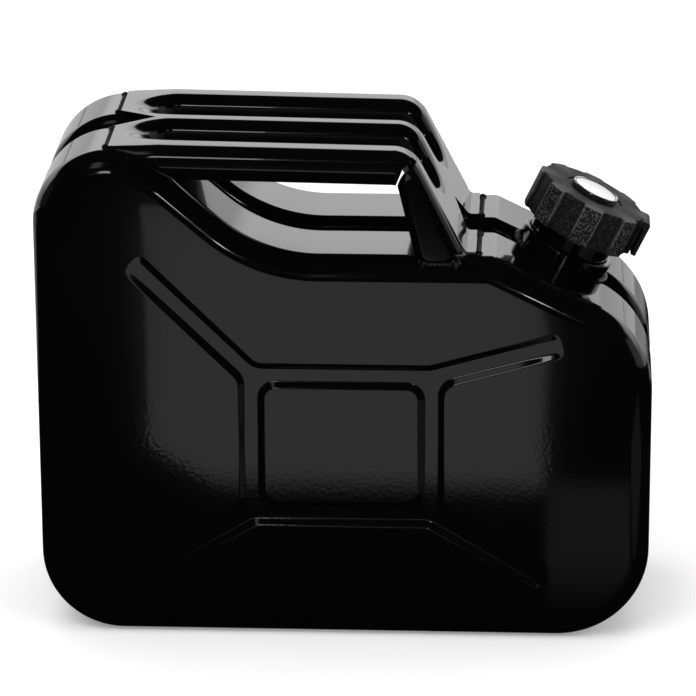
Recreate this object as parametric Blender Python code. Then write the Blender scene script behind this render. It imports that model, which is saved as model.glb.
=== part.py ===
"""Steel fuel can, ten litres: two pressed half shells, a triple-bar handle and a screw cap.

Metres, +Z up. +X runs along the can towards the filler neck, -Y is the front half and +Y the
rear half. The origin is the middle of the rectangle that the can covers on the ground.
"""

import math

import bmesh
import bpy
from mathutils import Matrix, Vector

# Clearances and shared values
GAP = 0.0003
OVERRUN = 0.01
WELD_TOLERANCE = 0.00001
FULL_TURN = 2 * math.pi
QUARTER_TURN = math.pi / 2
SMOOTH_ANGLE = math.radians(30)

# Side outline of the can
LENGTH = 0.350
CREST_HEIGHT = 0.2884
RECESS_DEPTH = 0.0599
CREST_FLAT = 0.0045
KNEE_RUN = 0.0262
KNEE_DROP = 0.0122
RECESS_SLOPE_RUN = 0.0553
SHOULDER_RUN = 0.0905
SHOULDER_SLOPE = math.radians(25.8)
BOTTOM_REAR_RADIUS = 0.046
BOTTOM_FRONT_RADIUS = 0.044
FRONT_RADIUS = 0.055
SHOULDER_RADIUS = 0.008
RECESS_RADIUS = 0.085
KNEE_RADIUS = 0.040
CREST_RADIUS = 0.016
REAR_RADIUS = 0.0435
LEAST_RADIUS = 0.0008

# Section across the two halves
WIDTH = 0.140
SHELL_SHEET = 0.0009
SIDE_FILLET = 0.013
CHANNEL_HALF_WIDTH = 0.0155
CHANNEL_LIP = 0.007
CHANNEL_DEPTH = 0.012
CHANNEL_FILLET = 0.002
FLANGE_HEIGHT = 0.005
FLANGE_BEND = 0.0015
SEAM_BEAD_HEIGHT = 0.0015
SEAM_BEAD_WIDTH = 0.003

# Pressed relief of the side faces
RELIEF_X = -0.001
RELIEF_DEPTH = 0.0022
RELIEF_WALL = 0.0047
GROOVE_FLOOR = 0.0065
PLATEAU_HALF_LENGTH = 0.0432
PLATEAU_FOOT = 0.0840
PLATEAU_DROP = 0.0771
PLATEAU_RADIUS = 0.006
PANEL_RADIUS = 0.008
ARM_END_RADIUS = 0.005
REAR_ARM_MARGIN = 0.0555
FRONT_ARM_MARGIN = 0.0510
FRONT_LOW_ARM_MARGIN = 0.0570
REAR_TOP_ARM_DROP = 0.0624
FRONT_TOP_ARM_DROP = 0.0294
LOW_ARM_HEIGHT = 0.0360

# Carrying handle, one pressing with three bars
HANDLE_SHEET = 0.0014
HANDLE_STANDOFF = 0.0001
TONGUE_OVERLAP = 0.0046
HANDLE_RISE_RUN = 0.0276
HANDLE_RISE = 0.0030
HAND_CLEARANCE = 0.0607
FOOT_SETBACK = 0.0155
LEG_RUN = 0.0305
HANDLE_RISE_RADIUS = 0.020
HANDLE_BEND_RADIUS = 0.018
FOOT_BEND_RADIUS = 0.003
FOOT_LIP = 0.0055
MIDDLE_BAR_WIDTH = 0.0200
OUTER_BAR_WIDTH = 0.0150
SLOT_REAR_INSET = 0.0166
SLOT_FOOT_CLEARANCE = 0.0315
SLOT_FLANGE = 0.012
BAR_FOLD = 0.004
REAR_NOTCH_LENGTH = 0.0216
FOOT_NOTCH_LENGTH = 0.0170
SIDE_FLANGE = 0.0190
SIDE_FLANGE_START = 0.0030
SIDE_FLANGE_TAPER = 0.0300
SIDE_FLANGE_TURN_IN = 0.0075
SIDE_FLANGE_LEAN_SHARE = 0.25
SIDE_FLANGE_SLANT = 0.0068
SLIT_TOP_DEPTH = 0.0055
SIDE_SLIT = 0.0036
LEG_FOLD = 0.0080
LEG_TOP_FOLD = 0.0065
LEG_CORNER_DROP = 0.0120
LEG_FLANGE_TOP = 0.0159
LEG_FLANGE_FOOT = 0.0280
LEG_EDGE_FOLD = 0.0046
LEG_EDGE_LEAN_SHARE = 0.6

# Weld beads
BEAD_HEIGHT = 0.0018
BEAD_WIDTH = 0.0034
BLOB_SCALE = 1.5
BLOB_END_SHARE = 0.1
BEAD_SHOULDER_SHARE = 0.7
LEG_BEAD_LENGTH = 0.0230

# Filler neck and its collar
NECK_ALONG_SHOULDER = 0.0421
NECK_BORE = 0.0446
NECK_WALL = 0.0020
NECK_MOUTH = 0.0370
NECK_BELOW_CHANNEL = 0.0040
COLLAR_WALL = 0.0032
COLLAR_HEIGHT = 0.0100
COLLAR_ROUND = 0.0012
COLLAR_BEAD = 0.0030

# Screw thread
THREAD_PITCH = 0.005
THREAD_DEPTH = 0.0020
THREAD_CLEARANCE = 0.0006
THREAD_TURNS = 1.9
THREAD_ROOT_WIDTH = 0.0020
THREAD_CREST_WIDTH = 0.0010
THREAD_FROM_MOUTH = 0.0016
THREAD_BITE = 0.0006
THREAD_RUN_OUT_STEPS = 4
THREAD_END_SHARE = 0.1

# Cap
CAP_HEIGHT = 0.0240
CAP_TOP_PLATE = 0.0035
CAP_RADIUS = 0.0335
CAP_WAIST_RADIUS = 0.0315
CAP_LOBES = 8
CAP_LOBE_SHARE = 0.42
CAP_LOBE_RAMP_SHARE = 0.16
CAP_TOP_CHAMFER = 0.0018
CAP_FOOT_CHAMFER = 0.0008
CAP_TAB_REACH = 0.0366
CAP_TAB_THICKNESS = 0.0028
CAP_TAB_WIDTH = 0.0190
CAP_TAB_HEIGHT = 0.0210
CAP_TAB_ROOT = 0.0040
GASKET_THICKNESS = 0.0025
BADGE_RADIUS = 0.0128
BADGE_RIM_WIDTH = 0.0012
BADGE_RIM_HEIGHT = 0.0014
BADGE_SINK = 0.0008
BADGE_DOME = 0.0012

# Facets
BIG_CORNER_STEPS = 6
SMALL_CORNER_STEPS = 2
BEND_STEPS = 5
ROUND_STEPS = 32
LIP_STEPS = 3
FILLET_STEPS = 4
SLOT_END_STEPS = 8

# Sizes that follow from the ones above
HALF_LENGTH = LENGTH / 2
HALF_WIDTH = WIDTH / 2
STRIP_EDGE = HALF_WIDTH - SIDE_FILLET
CREST_X = REAR_RADIUS + CREST_FLAT - HALF_LENGTH
KNEE_X = CREST_X + KNEE_RUN
KNEE_HEIGHT = CREST_HEIGHT - KNEE_DROP
RECESS_FOOT_X = KNEE_X + RECESS_SLOPE_RUN
RECESS_HEIGHT = CREST_HEIGHT - RECESS_DEPTH
SHOULDER_X = HALF_LENGTH - SHOULDER_RUN
FRONT_CORNER_HEIGHT = RECESS_HEIGHT - (HALF_LENGTH - SHOULDER_X) * math.tan(SHOULDER_SLOPE)
PLATEAU_HALF_HEIGHT = (RECESS_HEIGHT - PLATEAU_DROP - PLATEAU_FOOT) / 2
RELIEF_HEIGHT = PLATEAU_FOOT + PLATEAU_HALF_HEIGHT
REAR_ARM_REACH = HALF_LENGTH - REAR_ARM_MARGIN
FRONT_ARM_REACH = HALF_LENGTH - FRONT_ARM_MARGIN
FRONT_LOW_ARM_REACH = HALF_LENGTH - FRONT_LOW_ARM_MARGIN
REAR_TOP_ARM_HEIGHT = CREST_HEIGHT - REAR_TOP_ARM_DROP
SLOPE_AT_ARM = RECESS_HEIGHT - (FRONT_ARM_REACH - SHOULDER_X) * math.tan(SHOULDER_SLOPE)
FRONT_TOP_ARM_HEIGHT = SLOPE_AT_ARM - FRONT_TOP_ARM_DROP
HANDLE_HALF_WIDTH = STRIP_EDGE
SLOT_HALF_WIDTH = (HANDLE_HALF_WIDTH - OUTER_BAR_WIDTH - MIDDLE_BAR_WIDTH / 2) / 2
SLOT_CENTRE = MIDDLE_BAR_WIDTH / 2 + SLOT_HALF_WIDTH
HANDLE_REAR_X = CREST_X - TONGUE_OVERLAP
HANDLE_RISE_X = HANDLE_REAR_X + HANDLE_RISE_RUN
HANDLE_TOP = CREST_HEIGHT + HANDLE_RISE
HANDLE_FRONT_HEIGHT = RECESS_HEIGHT + HAND_CLEARANCE
FOOT_X = SHOULDER_X - FOOT_SETBACK
HANDLE_FRONT_X = FOOT_X - LEG_RUN
SLOT_REAR_X = HANDLE_REAR_X + SLOT_REAR_INSET
SLOT_FRONT_HEIGHT = RECESS_HEIGHT + SLOT_FOOT_CLEARANCE
SIDE_FLANGE_END_X = HANDLE_FRONT_X - SIDE_FLANGE_SLANT
LEG_CORNER_HEIGHT = HANDLE_FRONT_HEIGHT - LEG_CORNER_DROP
NECK_RADIUS = NECK_BORE / 2 + NECK_WALL
COLLAR_RADIUS = NECK_RADIUS + GAP + COLLAR_WALL
NECK_FOOT_X = SHOULDER_X + NECK_ALONG_SHOULDER * math.cos(SHOULDER_SLOPE)
NECK_FOOT_Z = RECESS_HEIGHT - NECK_ALONG_SHOULDER * math.sin(SHOULDER_SLOPE)
CAP_TOP = NECK_MOUTH + GAP + GASKET_THICKNESS + GAP + CAP_TOP_PLATE
CAP_BOTTOM = CAP_TOP - CAP_HEIGHT
CAP_BORE_RADIUS = NECK_RADIUS + THREAD_DEPTH + THREAD_CLEARANCE


def clear_scene():
    """Remove every object that the file opened with."""
    for found in list(bpy.data.objects):
        bpy.data.objects.remove(found)


def make_material(name, colour, roughness, metallic):
    """Principled material with one colour."""
    material = bpy.data.materials.new(name)
    material.use_nodes = True
    shader = material.node_tree.nodes["Principled BSDF"]
    shader.inputs["Base Color"].default_value = (*colour, 1)
    shader.inputs["Roughness"].default_value = roughness
    shader.inputs["Metallic"].default_value = metallic
    material.diffuse_color = (*colour, 1)
    return material


def make_object(name, bm, material):
    """Turn a closed bmesh into a smooth-shaded object with its faces pointing out."""
    bmesh.ops.remove_doubles(bm, verts=bm.verts, dist=WELD_TOLERANCE)
    bmesh.ops.dissolve_degenerate(bm, edges=bm.edges, dist=WELD_TOLERANCE)
    bmesh.ops.recalc_face_normals(bm, faces=bm.faces)
    return link_mesh(name, bm, material)


def make_sheet(name, bm, material, guide, outward):
    """Turn an open bmesh into an object whose face nearest the guide point faces outward."""
    bmesh.ops.remove_doubles(bm, verts=bm.verts, dist=WELD_TOLERANCE)
    bmesh.ops.recalc_face_normals(bm, faces=bm.faces)
    nearest = min(bm.faces, key=lambda face: (face.calc_center_median() - guide).length)
    if nearest.normal.dot(outward) < 0:
        bmesh.ops.reverse_faces(bm, faces=bm.faces)
    return link_mesh(name, bm, material)


def link_mesh(name, bm, material):
    """Smooth-shaded object from a bmesh, put into the scene."""
    mesh = bpy.data.meshes.new(name)
    bm.to_mesh(mesh)
    bm.free()
    mesh.shade_smooth()
    mesh.set_sharp_from_angle(angle=SMOOTH_ANGLE)
    made = bpy.data.objects.new(name, mesh)
    if material:
        made.data.materials.append(material)
    bpy.context.scene.collection.objects.link(made)
    return made


def make_cutter(name, bm):
    """Object that only cuts others and isn't part of the model."""
    cutter = make_object(name, bm, None)
    cutter.hide_render = True
    cutter.display_type = "WIRE"
    return cutter


def add_boolean(target, cutter, operation="DIFFERENCE", solver="EXACT"):
    """Cut, or join, one object with another."""
    modifier = target.modifiers.new(f"{operation.title()} {cutter.name}", "BOOLEAN")
    modifier.object = cutter
    modifier.operation = operation
    modifier.solver = solver


def add_sheet(target, thickness, even=True):
    """Give an open surface the thickness of its sheet, on the inner side."""
    modifier = target.modifiers.new("Sheet", "SOLIDIFY")
    modifier.thickness = thickness
    modifier.offset = -1
    modifier.use_even_offset = even


def rounded_path(corners, inset, closed=True):
    """Points of a polygon with rounded corners, moved to its left side by the inset.

    Each corner is (x, z, radius, steps). The number of points is the same at every inset.
    """
    points = []
    count = len(corners)
    for index, (x, z, radius, steps) in enumerate(corners):
        here = Vector((x, z))
        if not closed and index in (0, count - 1):
            points.append(here)
            continue
        before = Vector(corners[index - 1][:2])
        after = Vector(corners[(index + 1) % count][:2])
        arriving = (here - before).normalized()
        leaving = (after - here).normalized()
        left_in = Vector((-arriving.y, arriving.x))
        left_out = Vector((-leaving.y, leaving.x))
        corner = here + (left_in + left_out) * inset / (1 + left_in.dot(left_out))
        turn = math.atan2(arriving.x * leaving.y - arriving.y * leaving.x, arriving.dot(leaving))
        sign = math.copysign(1, turn)
        bend = max(radius - sign * inset, LEAST_RADIUS)
        start = corner - arriving * bend * math.tan(abs(turn) / 2)
        centre = start + left_in * sign * bend
        spoke = start - centre
        for step in range(steps + 1):
            angle = turn * step / steps
            cosine = math.cos(angle)
            sine = math.sin(angle)
            turned = Vector((spoke.x * cosine - spoke.y * sine, spoke.x * sine + spoke.y * cosine))
            points.append(centre + turned)
    return points


def outline_corners():
    """Corners of the can's side outline, anticlockwise seen from the front."""
    return [
        (-HALF_LENGTH, 0, BOTTOM_REAR_RADIUS, BIG_CORNER_STEPS),
        (HALF_LENGTH, 0, BOTTOM_FRONT_RADIUS, BIG_CORNER_STEPS),
        (HALF_LENGTH, FRONT_CORNER_HEIGHT, FRONT_RADIUS, BEND_STEPS),
        (SHOULDER_X, RECESS_HEIGHT, SHOULDER_RADIUS, SMALL_CORNER_STEPS),
        (RECESS_FOOT_X, RECESS_HEIGHT, RECESS_RADIUS, BEND_STEPS),
        (KNEE_X, KNEE_HEIGHT, KNEE_RADIUS, SMALL_CORNER_STEPS),
        (CREST_X, CREST_HEIGHT, CREST_RADIUS, SMALL_CORNER_STEPS),
        (-HALF_LENGTH, CREST_HEIGHT, REAR_RADIUS, BIG_CORNER_STEPS),
    ]


def arc(first_angle, last_angle, steps):
    """Evenly spaced angles along an arc, both ends included."""
    return [first_angle + (last_angle - first_angle) * step / steps for step in range(steps + 1)]


def half_section(grow):
    """Section of one half, as (inset from the outline, distance from the mid-plane) pairs.

    It runs from the flat side face over the fillet, the strip and the channel to the flange
    tip. A positive grow moves the whole skin out by that much.
    """
    points = []
    fillet = SIDE_FILLET + grow
    for angle in arc(0, QUARTER_TURN, FILLET_STEPS):
        points.append((SIDE_FILLET - fillet * math.sin(angle), STRIP_EDGE + fillet * math.cos(angle)))
    lip = CHANNEL_LIP + grow
    for angle in arc(0, QUARTER_TURN, LIP_STEPS):
        inset = CHANNEL_LIP - lip * math.cos(angle)
        points.append((inset, CHANNEL_HALF_WIDTH - lip * math.sin(angle)))
    wall = CHANNEL_HALF_WIDTH - CHANNEL_LIP
    inner = CHANNEL_FILLET - grow
    for angle in arc(0, QUARTER_TURN, SMALL_CORNER_STEPS):
        inset = CHANNEL_DEPTH - CHANNEL_FILLET + inner * math.sin(angle)
        points.append((inset, wall - CHANNEL_FILLET + inner * math.cos(angle)))
    bend = FLANGE_BEND - grow
    bend_centre = GAP / 2 + SHELL_SHEET + FLANGE_BEND
    for angle in arc(0, QUARTER_TURN, SMALL_CORNER_STEPS):
        inset = CHANNEL_DEPTH - FLANGE_BEND + bend * math.cos(angle)
        points.append((inset, bend_centre - bend * math.sin(angle)))
    points.append((CHANNEL_DEPTH - FLANGE_HEIGHT - grow, bend_centre - bend))
    return points


def add_ring(bm, points, y):
    """Ring of vertices at one distance from the mid-plane."""
    return [bm.verts.new((point.x, y, point.y)) for point in points]


def bridge(bm, first, second):
    """Quads between two closed rings with the same number of vertices."""
    count = len(first)
    for index in range(count):
        after = (index + 1) % count
        bm.faces.new((first[index], first[after], second[after], second[index]))


def ring_edges(bm, ring):
    """Edges along a closed ring, made where they are missing."""
    edges = []
    for index, vertex in enumerate(ring):
        after = ring[(index + 1) % len(ring)]
        edge = bm.edges.get((vertex, after))
        edges.append(edge or bm.edges.new((vertex, after)))
    return edges


def fill_between(bm, rings, normal):
    """Triangles between an outer ring and the rings inside it."""
    edges = []
    for ring in rings:
        edges += ring_edges(bm, ring)
    bmesh.ops.triangle_fill(bm, use_beauty=True, use_dissolve=False, edges=edges, normal=normal)


def groove_corners():
    """Corners of the line where the raised panels end and the cross-shaped groove starts."""
    half_length = PLATEAU_HALF_LENGTH + RELIEF_WALL + GROOVE_FLOOR / 2
    half_height = PLATEAU_HALF_HEIGHT + RELIEF_WALL + GROOVE_FLOOR / 2
    half_groove = GROOVE_FLOOR / 2 + RELIEF_WALL
    arms = [
        ((-1, -1), (-REAR_ARM_REACH, LOW_ARM_HEIGHT)),
        ((1, -1), (FRONT_LOW_ARM_REACH, LOW_ARM_HEIGHT)),
        ((1, 1), (FRONT_ARM_REACH, FRONT_TOP_ARM_HEIGHT)),
        ((-1, 1), (-REAR_ARM_REACH, REAR_TOP_ARM_HEIGHT)),
    ]
    corners = []
    for (side, level), end in arms:
        root = Vector((RELIEF_X + side * half_length, RELIEF_HEIGHT + level * half_height))
        tip = Vector(end)
        along = (tip - root).normalized()
        across = Vector((-along.y, along.x))
        edge_x = RELIEF_X + side * (half_length + half_groove)
        edge_z = RELIEF_HEIGHT + level * (half_height + half_groove)
        sides = []
        for turn in (-1, 1):
            start = root + across * half_groove * turn
            meets_x = start + along * (edge_x - start.x) / along.x
            meets_z = start + along * (edge_z - start.y) / along.y
            faces_x = turn * side * level < 0
            sides.append((meets_x if faces_x else meets_z, tip + across * half_groove * turn))
        corners.append((*sides[0][0], PANEL_RADIUS, SMALL_CORNER_STEPS))
        corners.append((*sides[0][1], ARM_END_RADIUS, SMALL_CORNER_STEPS))
        corners.append((*sides[1][1], ARM_END_RADIUS, SMALL_CORNER_STEPS))
        corners.append((*sides[1][0], PANEL_RADIUS, SMALL_CORNER_STEPS))
    return corners


def plateau_corners():
    """Corners of the raised rectangle in the middle of the side face."""
    return [
        (RELIEF_X - PLATEAU_HALF_LENGTH, RELIEF_HEIGHT - PLATEAU_HALF_HEIGHT, PLATEAU_RADIUS, 2),
        (RELIEF_X + PLATEAU_HALF_LENGTH, RELIEF_HEIGHT - PLATEAU_HALF_HEIGHT, PLATEAU_RADIUS, 2),
        (RELIEF_X + PLATEAU_HALF_LENGTH, RELIEF_HEIGHT + PLATEAU_HALF_HEIGHT, PLATEAU_RADIUS, 2),
        (RELIEF_X - PLATEAU_HALF_LENGTH, RELIEF_HEIGHT + PLATEAU_HALF_HEIGHT, PLATEAU_RADIUS, 2),
    ]


def groove_depth(point):
    """Depth of the groove floor, which fades out along the four arms."""
    reach = abs(point.x - RELIEF_X) - PLATEAU_HALF_LENGTH - RELIEF_WALL
    share = max(reach, 0) / (REAR_ARM_REACH - PLATEAU_HALF_LENGTH)
    return RELIEF_DEPTH * (1 - share * share)


def add_pressed_face(bm, edge_ring, side):
    """Side face with its cross-shaped groove and raised rectangle."""
    normal = Vector((0, side, 0))
    face_y = side * HALF_WIDTH
    panel_points = rounded_path(groove_corners(), 0)
    floor_points = rounded_path(groove_corners(), RELIEF_WALL)
    panel_ring = add_ring(bm, panel_points, face_y)
    floor_ring = []
    for point in floor_points:
        floor_ring.append(bm.verts.new((point.x, face_y - side * groove_depth(point), point.y)))
    foot_y = face_y - side * RELIEF_DEPTH
    foot_ring = add_ring(bm, rounded_path(plateau_corners(), -RELIEF_WALL), foot_y)
    top_ring = add_ring(bm, rounded_path(plateau_corners(), 0), face_y)
    fill_between(bm, (edge_ring, panel_ring), normal)
    bridge(bm, panel_ring, floor_ring)
    fill_between(bm, (floor_ring, foot_ring), normal)
    bridge(bm, foot_ring, top_ring)
    bm.faces.new(top_ring)


def build_half(name, side, material):
    """One pressed half shell, an open dish of sheet steel."""
    bm = bmesh.new()
    rings = []
    for inset, distance in half_section(0):
        rings.append(add_ring(bm, rounded_path(outline_corners(), inset), side * distance))
    for first, second in zip(rings, rings[1:]):
        bridge(bm, first, second)
    add_pressed_face(bm, rings[0], side)
    plateau = Vector((RELIEF_X, side * HALF_WIDTH, RELIEF_HEIGHT))
    half = make_sheet(name, bm, material, plateau, Vector((0, side, 0)))
    add_sheet(half, SHELL_SHEET)
    return half


def build_envelope():
    """Solid a gap larger than both halves, which trims what is seated on them."""
    bm = bmesh.new()
    section = half_section(GAP)
    whole = [(inset, -distance) for inset, distance in section]
    whole += [(inset, distance) for inset, distance in reversed(section)]
    rings = []
    for inset, y in whole:
        rings.append(add_ring(bm, rounded_path(outline_corners(), inset), y))
    for first, second in zip(rings, rings[1:]):
        bridge(bm, first, second)
    bm.faces.new(rings[0])
    bm.faces.new(rings[-1])
    return make_cutter("body_envelope", bm)


def build_seam_weld(material):
    """Weld bead along the tips of the two flanges, all round the can."""
    bm = bmesh.new()
    low = CHANNEL_DEPTH - FLANGE_HEIGHT - GAP
    high = low - SEAM_BEAD_HEIGHT
    middle = (low + high) / 2
    half = SEAM_BEAD_WIDTH / 2
    section = [(low, -half), (middle, -half), (high, -half / 2)]
    section += [(high, half / 2), (middle, half), (low, half)]
    rings = [add_ring(bm, rounded_path(outline_corners(), inset), y) for inset, y in section]
    for index, ring in enumerate(rings):
        bridge(bm, ring, rings[(index + 1) % len(rings)])
    return make_object("seam_weld", bm, material)


def neck_matrix():
    """Frame of the filler neck: origin on the shoulder plane, Z along the neck."""
    place = Matrix.Translation((NECK_FOOT_X, 0, NECK_FOOT_Z))
    return place @ Matrix.Rotation(SHOULDER_SLOPE, 4, "Y")


def spin_profile(bm, profile, steps=ROUND_STEPS):
    """Turn a closed profile of (radius, height) pairs round the Z axis."""
    verts = [bm.verts.new((radius, 0, height)) for radius, height in profile]
    edges = ring_edges(bm, verts)
    bmesh.ops.spin(
        bm,
        geom=verts + edges,
        axis=(0, 0, 1),
        cent=(0, 0, 0),
        angle=FULL_TURN,
        steps=steps,
        use_merge=True,
    )


def add_thread(bm, wall_radius, crest_radius, first_height):
    """Helical ridge whose ends run out into the wall that carries it."""
    outward = math.copysign(1, crest_radius - wall_radius)
    steps = round(ROUND_STEPS * THREAD_TURNS)
    sections = []
    for step in range(steps + 1):
        angle = FULL_TURN * step / ROUND_STEPS
        height = first_height + THREAD_PITCH * step / ROUND_STEPS
        from_end = min(step, steps - step) / THREAD_RUN_OUT_STEPS
        share = min(max(from_end, THREAD_END_SHARE), 1)
        crest = wall_radius + (crest_radius - wall_radius) * share
        root = wall_radius - outward * THREAD_BITE
        places = [
            (root, -THREAD_ROOT_WIDTH / 2),
            (crest, -THREAD_CREST_WIDTH / 2),
            (crest, THREAD_CREST_WIDTH / 2),
            (root, THREAD_ROOT_WIDTH / 2),
        ]
        ring = []
        for radius, rise in places:
            flat = (radius * math.cos(angle), radius * math.sin(angle), height + rise)
            ring.append(bm.verts.new(flat))
        sections.append(ring)
    for first, second in zip(sections, sections[1:]):
        bridge(bm, first, second)
    bm.faces.new(sections[0])
    bm.faces.new(sections[-1])


def build_neck(material):
    """Threaded filler neck, a steel tube through both halves."""
    bm = bmesh.new()
    bottom = -CHANNEL_DEPTH - NECK_BELOW_CHANNEL
    bore = NECK_BORE / 2
    spin_profile(bm, [(bore, bottom), (NECK_RADIUS, bottom), (NECK_RADIUS, NECK_MOUTH), (bore, NECK_MOUTH)])
    neck = make_object("filler_neck", bm, material)
    thread_bm = bmesh.new()
    top = NECK_MOUTH - THREAD_FROM_MOUTH - THREAD_PITCH * THREAD_TURNS
    add_thread(thread_bm, NECK_RADIUS, NECK_RADIUS + THREAD_DEPTH, top)
    thread = make_cutter("neck_thread", thread_bm)
    add_boolean(neck, thread, "UNION")
    for piece in (neck, thread):
        piece.matrix_world = neck_matrix()
    return neck


def build_collar(material, envelope):
    """Collar welded round the neck, its foot shaped to the strips and the channel."""
    bm = bmesh.new()
    inner = NECK_RADIUS + GAP
    bottom = -CHANNEL_DEPTH - OVERRUN
    profile = [
        (inner, bottom),
        (COLLAR_RADIUS, bottom),
        (COLLAR_RADIUS, COLLAR_HEIGHT - COLLAR_ROUND),
        (COLLAR_RADIUS - COLLAR_ROUND, COLLAR_HEIGHT),
        (inner, COLLAR_HEIGHT),
    ]
    spin_profile(bm, profile)
    collar = make_object("filler_collar", bm, material)
    collar.matrix_world = neck_matrix()
    add_boolean(collar, envelope)
    return collar


def build_neck_hole():
    """Cutter for the hole that the neck passes through."""
    bm = bmesh.new()
    depth = 2 * (CHANNEL_DEPTH + OVERRUN)
    radius = NECK_RADIUS + GAP
    bmesh.ops.create_cone(
        bm, cap_ends=True, segments=ROUND_STEPS, radius1=radius, radius2=radius, depth=depth
    )
    cutter = make_cutter("neck_hole", bm)
    cutter.matrix_world = neck_matrix()
    return cutter


def build_collar_clearance():
    """Cutter that ends the seam bead at the collar and at its weld."""
    bm = bmesh.new()
    depth = 2 * (CHANNEL_DEPTH + OVERRUN)
    radius = COLLAR_RADIUS + COLLAR_BEAD + GAP
    bmesh.ops.create_cone(
        bm, cap_ends=True, segments=ROUND_STEPS, radius1=radius, radius2=radius, depth=depth
    )
    cutter = make_cutter("collar_clearance", bm)
    cutter.matrix_world = neck_matrix()
    return cutter


def build_collar_weld(name, middle_angle, material, envelope):
    """Weld bead at one end of the collar, where it crosses the channel."""
    bm = bmesh.new()
    inner = COLLAR_RADIUS + GAP
    outer = inner + COLLAR_BEAD
    half_angle = math.asin(CHANNEL_HALF_WIDTH / COLLAR_RADIUS)
    rise = COLLAR_HEIGHT / 2
    rings = []
    for angle in arc(middle_angle - half_angle, middle_angle + half_angle, FILLET_STEPS):
        ring = []
        for radius, height in ((inner, -CHANNEL_DEPTH), (outer, -CHANNEL_DEPTH), (outer, 0), (inner, rise)):
            ring.append(bm.verts.new((radius * math.cos(angle), radius * math.sin(angle), height)))
        rings.append(ring)
    for first, second in zip(rings, rings[1:]):
        bridge(bm, first, second)
    bm.faces.new(rings[0])
    bm.faces.new(rings[-1])
    bead = make_object(name, bm, material)
    bead.matrix_world = neck_matrix()
    add_boolean(bead, envelope)
    return bead


def handle_corners():
    """Corners of the handle's length, along the upper side of its sheet."""
    seat = CREST_HEIGHT + GAP + HANDLE_STANDOFF + HANDLE_SHEET
    foot = RECESS_HEIGHT + GAP + HANDLE_STANDOFF + HANDLE_SHEET
    return [
        (HANDLE_REAR_X, seat, 0, 1),
        (HANDLE_RISE_X, HANDLE_TOP, HANDLE_RISE_RADIUS, SMALL_CORNER_STEPS),
        (HANDLE_FRONT_X, HANDLE_FRONT_HEIGHT, HANDLE_BEND_RADIUS, BEND_STEPS),
        (FOOT_X, foot, FOOT_BEND_RADIUS, SMALL_CORNER_STEPS),
        (FOOT_X + FOOT_LIP, foot, 0, 1),
    ]


class HandleLine:
    """The handle's length as a polyline, which carries a flat pattern into its bent place."""

    def __init__(self):
        self.points = rounded_path(handle_corners(), 0, closed=False)
        self.stations = [0]
        for first, second in zip(self.points, self.points[1:]):
            self.stations.append(self.stations[-1] + (second - first).length)

    def station_at(self, value, axis, last=False):
        """Distance along the line where it passes a given x (axis 0) or height (axis 1)."""
        found = 0
        for index in range(len(self.points) - 1):
            low = self.points[index][axis]
            high = self.points[index + 1][axis]
            if min(low, high) <= value <= max(low, high) and low != high:
                share = (value - low) / (high - low)
                span = self.stations[index + 1] - self.stations[index]
                found = self.stations[index] + share * span
                if not last:
                    return found
        return found

    def nearest_station(self, station):
        """Point of the line that lies nearest to a station."""
        return min(self.stations, key=lambda found: abs(found - station))

    def place(self, station, across, rise):
        """Position of a point of the flat pattern, with its rise off the sheet."""
        index = 0
        while index < len(self.points) - 2 and self.stations[index + 1] < station - WELD_TOLERANCE:
            index += 1
        span = self.stations[index + 1] - self.stations[index]
        share = (station - self.stations[index]) / span
        spot = self.points[index].lerp(self.points[index + 1], share)
        normal_here = self.normal(index, share)
        spot = spot + normal_here * rise
        return Vector((spot.x, across, spot.y))

    def place_flange(self, station, across, drop):
        """Position of a point of a side flange, straight below the fold of its own run."""
        corners = handle_corners()
        slit = self.nearest_station(self.station_at(HANDLE_FRONT_X, 0))
        first = 2 if station > slit + WELD_TOLERANCE else 1
        along = Vector(corners[first + 1][:2]) - Vector(corners[first][:2])
        along.normalize()
        spot = self.place(station, across, -min(drop, BAR_FOLD))
        straight = max(drop - BAR_FOLD, 0)
        return spot + Vector((along.y, 0, -along.x)) * straight

    def normal(self, index, share):
        """Normal of the line, turned evenly where the line bends."""
        before = self.vertex_normal(index)
        after = self.vertex_normal(index + 1)
        return before.lerp(after, share)

    def vertex_normal(self, index):
        """Mitred normal at a point of the line, so that offsets keep their distance."""
        directions = []
        if index > 0:
            directions.append((self.points[index] - self.points[index - 1]).normalized())
        if index < len(self.points) - 1:
            directions.append((self.points[index + 1] - self.points[index]).normalized())
        normals = [Vector((-way.y, way.x)) for way in directions]
        total = sum(normals, Vector((0, 0)))
        return total * len(normals) / total.dot(total) if len(normals) == 1 else total * 2 / total.dot(total)


def slot_ring(line, side, spread):
    """Round-ended slot between two bars, widened by the spread, in the flat pattern."""
    radius = SLOT_HALF_WIDTH + spread
    rear = line.station_at(SLOT_REAR_X, 0) + SLOT_HALF_WIDTH
    front = line.station_at(SLOT_FRONT_HEIGHT, 1, last=True) - SLOT_HALF_WIDTH
    centre = side * SLOT_CENTRE
    points = []
    for start, middle in ((QUARTER_TURN, rear), (-QUARTER_TURN, front)):
        for angle in arc(start, start + math.pi, SLOT_END_STEPS):
            points.append((middle + radius * math.cos(angle), centre + radius * math.sin(angle)))
    return points


def side_stations(line):
    """Stations along each side edge: rear edge, flange start, taper, slit and leg."""
    corner = line.nearest_station(line.station_at(SIDE_FLANGE_END_X, 0))
    slit = line.nearest_station(line.station_at(HANDLE_FRONT_X, 0))
    leg_corner = line.station_at(LEG_CORNER_HEIGHT, 1, last=True)
    foot = line.stations[-1] - FOOT_LIP - FOOT_BEND_RADIUS
    middle = (SIDE_FLANGE_START + SIDE_FLANGE_TAPER) / 2
    bar = [0, SIDE_FLANGE_START, middle, SIDE_FLANGE_TAPER, corner, slit]
    return bar + [line.nearest_station(slit + SIDE_SLIT), leg_corner, foot]


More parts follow.
